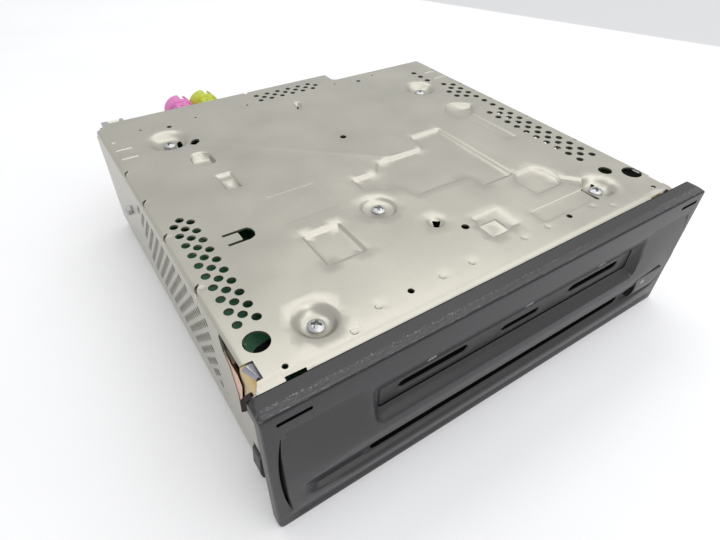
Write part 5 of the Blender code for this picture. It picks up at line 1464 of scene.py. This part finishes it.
# Screws: pan heads with a cross recess
head_radius, head_rise, head_skirt = 2.75, 0.9, 0.8
head_over_floor, rear_head_rise = 1.4, 1.1
shank_radius, rear_shank = 1.2, 4.0
cross_turn = (0.8, 0.6)
cross_half, cross_reach, cross_depth = 0.48, 1.75, 1.3
panel_face, panel_step_x, panel_step = 182.7, 31.2, 9.0
rear_screws = {
    "rear_low_left": (-82.0, 9.5),
    "rear_low_middle": (25.0, 9.5),
    "rear_high_left": (-63.0, 46.5),
    "rear_high_right": (80.5, 43.5),
    "rear_high_middle": (38.0, 43.5),
}


def build_pan_head(name, to_space, shank_length, *nodes):
    """A pan head and its shank; to_space places x, y and the height over the crown, all in millimetres."""

    def top(flat):
        x, y = np.asarray(flat).T / mm
        away = np.hypot(x, y) / head_radius
        across = np.abs(x * cross_turn[0] - y * cross_turn[1])
        up = np.abs(x * cross_turn[1] + y * cross_turn[0])
        arm, reach = np.minimum(across, up), np.maximum(across, up)
        cross = smooth_step((cross_half - arm) / 0.2) * smooth_step((cross_reach - reach) / 0.5)
        return np.column_stack(to_space(x, y, -head_rise * away**2.5 - cross_depth * cross))

    def level(height):
        def placed(flat):
            x, y = np.asarray(flat).T / mm
            return np.column_stack(to_space(x, y, np.full(len(x), height)))

        return placed

    outline = circle((0, 0), head_radius, 40)
    rings = [(circle((0, 0), head_radius * share, 32), True) for share in (0.95, 0.88, 0.75)]
    shank = circle((0, 0), shank_radius, 16)
    base = -head_rise - head_skirt
    shape = Shape()
    shape.sheet(top, outline, 0.22, lines=rings)
    shape.sheet(level(base), outline, 1.0, [shank], flip=True)
    shape.walls(outline, level(base), top)
    shape.walls(shank, level(base - shank_length), level(base))
    shape.sheet(level(base - shank_length), shank, 1.0, flip=True)
    belong(shape.object(name, looks["bright_steel"], 35.0), "case", "bright_steel", *nodes)


def build_screws():
    for name, (low, high) in screw_spots.items():
        head_top = lid_top / mm - dishes[name][1] + head_over_floor

        def to_space(x, y, height, low=low, high=high, head_top=head_top):
            return (low.x + high.x) / 2 + x * mm, (low.y + high.y) / 2 + y * mm, (head_top + height) * mm

        length = head_top - head_rise - head_skirt - low.z / mm
        build_pan_head(f"screw_{name}", to_space, length, f"lid_screw_{name}")
    for name, (x, z) in rear_screws.items():
        crown = panel_face - (panel_step if x > panel_step_x else 0) + rear_head_rise

        def to_space(across, up, height, x=x, z=z, crown=crown):
            return unit_place(x + across, crown + height, z + up)

        build_pan_head(f"screw_{name}", to_space, rear_shank)


# Rear: a stepped sheet with vents, dimples and a bare label pad. Laid flat, it is longer by the step's depth
panel_bottom, panel_top_edge, panel_side = 3.4, 53.4, 88.5
panel_sheet, panel_fold = 0.8, 0.35
label_pad = (-22.0, 20.0, 8.0, 31.0)
rear_ribs = ((-74.0, -28.0, 33.5), (-74.0, -28.0, 29.5), (44.0, 70.0, 36.2))
rear_rib_half, dimple_radius = 1.0, 4.6
# Depth of a pressing and the width of its slopes
dimple_press, pad_press, rib_press = (0.55, 0.8), (0.4, 0.7), (0.45, 0.7)
# Vents in the rear: the first, the end of the row, the pitch, and their lower and upper ends
rear_vents = ((-20.0, 28.0, 4.4, 37.5, 48.0), (46.0, 74.0, 4.4, 39.5, 48.0))
rear_vent_half = 0.9
coax_holes, coax_hole_radius = (-47.8, -34.8), 1.8
data_opening = (-87.3, -75.7, 37.7, 52.3)
power_opening = (39.7, 84.3, 7.7, 32.3)


def flat_x(x):
    return x if x < panel_step_x else x + panel_step


def rear_pressings():
    rows = [(circle((flat_x(x), z), dimple_radius, 28), dimple_press) for x, z in rear_screws.values()]
    rows.append((rounded(rectangle(*label_pad), 2.0, 4), pad_press))
    for left, right, z in rear_ribs:
        sides = (flat_x(left), flat_x(right), z - rear_rib_half, z + rear_rib_half)
        rows.append((slot_outline(*sides), rib_press))
    return [Pressing(in_metres(outline), *press) for outline, press in rows]


def rear_holes():
    made = []
    for first, end, pitch, low, high in rear_vents:
        for x in np.arange(first, end, pitch):
            sides = (flat_x(x) - rear_vent_half, flat_x(x) + rear_vent_half)
            made.append([(across, z) for z, across in slot_outline(low, high, *sides, 4)])
    made += [circle((x, shroud_height), coax_hole_radius, 20) for x in coax_holes]
    left, right, low, high = power_opening
    return made + [rectangle(*data_opening), rectangle(flat_x(left), flat_x(right), low, high)]


def build_rear_sheet():
    outline = finely(rectangle(-panel_side, panel_side + panel_step, panel_bottom, panel_top_edge), 5.0)
    pressed = rear_pressings()
    lines = [ring for pressing in pressed for ring in pressing.rings()]
    fold, end = panel_step_x, panel_step_x + panel_step
    for across in (fold - panel_fold, fold, end, end + panel_fold):
        heights = np.linspace(panel_bottom + 0.5, panel_top_edge - 0.5, 16)
        lines.append((in_metres([(across, z) for z in heights]), False))
    holes = [in_metres(hole) for hole in rear_holes()]
    flat, faces = lay_out(in_metres(outline), holes, lines, 4.0 * mm)
    x = flat[:, 0] / mm
    folded = np.clip(x - panel_step_x, 0, panel_step)
    shape = Shape()
    depth = from_front(panel_face - folded) - deepest(pressed, flat)
    shape.faces(np.column_stack([(x - folded) * mm, depth, flat[:, 1]]), faces, flip=True)
    sheet = shape.object("rear_sheet", looks["lid_steel"], 35.0, panel_sheet)
    belong(sheet, "case", "steel_sheet", "rear_panel")


# Power socket: a black block with two keyed cavities, and contact blades in them
power_sides = (167.2, 185.9)
power_body = (40.1, 83.9, 8.1, 31.9)
power_cavities = ((42.0, 60.9, 10.0, 30.0), (63.1, 82.0, 10.0, 30.0))
cavity_depth = 13.0
blade_half_width, blade_half_height = 1.2, 0.4
blade_rings = ((172.6, 1.0), (181.2, 1.0), (182.4, 0.45))
blade_rows, blade_columns = (0.32, 0.66), 4
key_half, key_depth = 2.6, 1.2
nick_low, nick_high, nick_width = 4.0, 3.0, 1.0


def keyed_cavity(left, right, low, high):
    middle = (left + right) / 2
    key_left, key_right, key_low = middle - key_half, middle + key_half, high - key_depth
    nick = right - nick_width
    outline = [(left, low), (right, low), (right, high - nick_low), (nick, high - nick_high), (nick, high)]
    key = [(key_right, high), (key_right, key_low), (key_left, key_low), (key_left, high)]
    return [*outline, *key, (left, high)]


def add_blade(shape, x, z):
    """A contact blade that narrows at its tip."""
    spots = []
    for y, share in blade_rings:
        across, up = blade_half_width * share, blade_half_height * share
        spots += [unit_place(x + i * across, y, z + k * up) for i, k in ((-1, -1), (1, -1), (1, 1), (-1, 1))]
    last = len(spots) - 1
    ends = [(0, 1, 2, 3), (last, last - 1, last - 2, last - 3)]
    shape.faces(spots, grid_faces(len(blade_rings), 4) + ends)


def build_power_socket():
    holes = [keyed_cavity(*cavity) for cavity in power_cavities]
    outline = rectangle(*power_body)
    body = socket_block("power_socket", power_sides, outline, holes, cavity_depth, "black_plastic")
    shape = Shape()
    for left, right, low, high in power_cavities:
        for row in blade_rows:
            for column in range(blade_columns):
                x = left + (right - left) * (column + 0.5) / blade_columns
                add_blade(shape, x, low + (high - low) * row)
    belong(body, "case", slot_of["power_connector"], "power_connector")
    belong(shape.object("power_blades", looks["brass"]), "case", "spring_bronze")


build_lid()
build_bezel()
build_plate_and_button()
add_marks()
build_window_pieces()
build_catches()
build_shrouds()
build_data_socket()
build_screws()
build_rear_sheet()
build_power_socket()


# Floor, light and world
floor_half = 3.0
floor_edge = ((317.1, 457.9), (468.1, 171.0))
# Each lamp's place, target, size and power
lamps = {
    "ceiling": ((0.70, -0.27, 1.15), (0.70, -0.27, 0), (2.0, 0.87), 6.8),
    "ceiling_rear": ((0.36, 0.54, 1.15), (0.36, 0.54, 0), (1.42, 0.4), 3.6),
    "ceiling_front": ((0.25, -0.95, 1.1), (0.1, -0.1, 0), (0.8, 0.5), 2.6),
}


def add_floor():
    """A pale floor that turns darker beyond the line where it ends in the photograph."""
    look = new_look("floor")
    tone = look.ramp(look.noise(0.01, 3), 0.3, 0.7, (0.81, 0.81, 0.82), (0.84, 0.84, 0.85))
    start, end = (Vector((x * mm, from_front(y))) for x, y in floor_edge)
    across = Vector((start.y - end.y, end.x - start.x)).normalized()
    place = look.node("ShaderNodeSeparateXYZ", {"Vector": look.object_place()}).outputs
    past = look.times(place["X"], across.x)
    past = look.maths("MULTIPLY_ADD", place["Y"], across.y, past)
    past = look.maths("SUBTRACT", past, across.dot(start))
    tone = look.mix(look.rise(past, 0.0, 6 * mm), tone, (0.52, 0.52, 0.53))
    glow = {"Emission_Color": 1.0, "Emission_Strength": look.times(look.seen_ray(), 0.15)}
    material = look.surface(tone, 0.6, Specular_IOR_Level=0.2, **glow)
    shape = Shape()
    bmesh.ops.create_grid(shape.mesh, x_segments=1, y_segments=1, size=floor_half)
    shape.object("floor", material, closed=False)


def add_light():
    world = bpy.data.worlds.new("world")
    bpy.context.scene.world = world
    tree = Tree(world)
    strength = tree.maths("MULTIPLY_ADD", tree.seen_ray(), 0.20, 0.62)
    tree.set("Background", {"Color": (0.98, 0.99, 1.0), "Strength": strength})
    for name, (place, target, size, power) in lamps.items():
        lamp = bpy.data.lights.new(name, "AREA")
        lamp.shape = "RECTANGLE"
        lamp.size, lamp.size_y = size
        lamp.energy = power
        obj = add_object(name, lamp)
        obj.location = place
        obj.rotation_euler = (Vector(target) - Vector(place)).to_track_quat("-Z", "Y").to_euler()


add_camera()
add_floor()
add_light()
bpy.context.scene.view_settings.view_transform = "Standard"
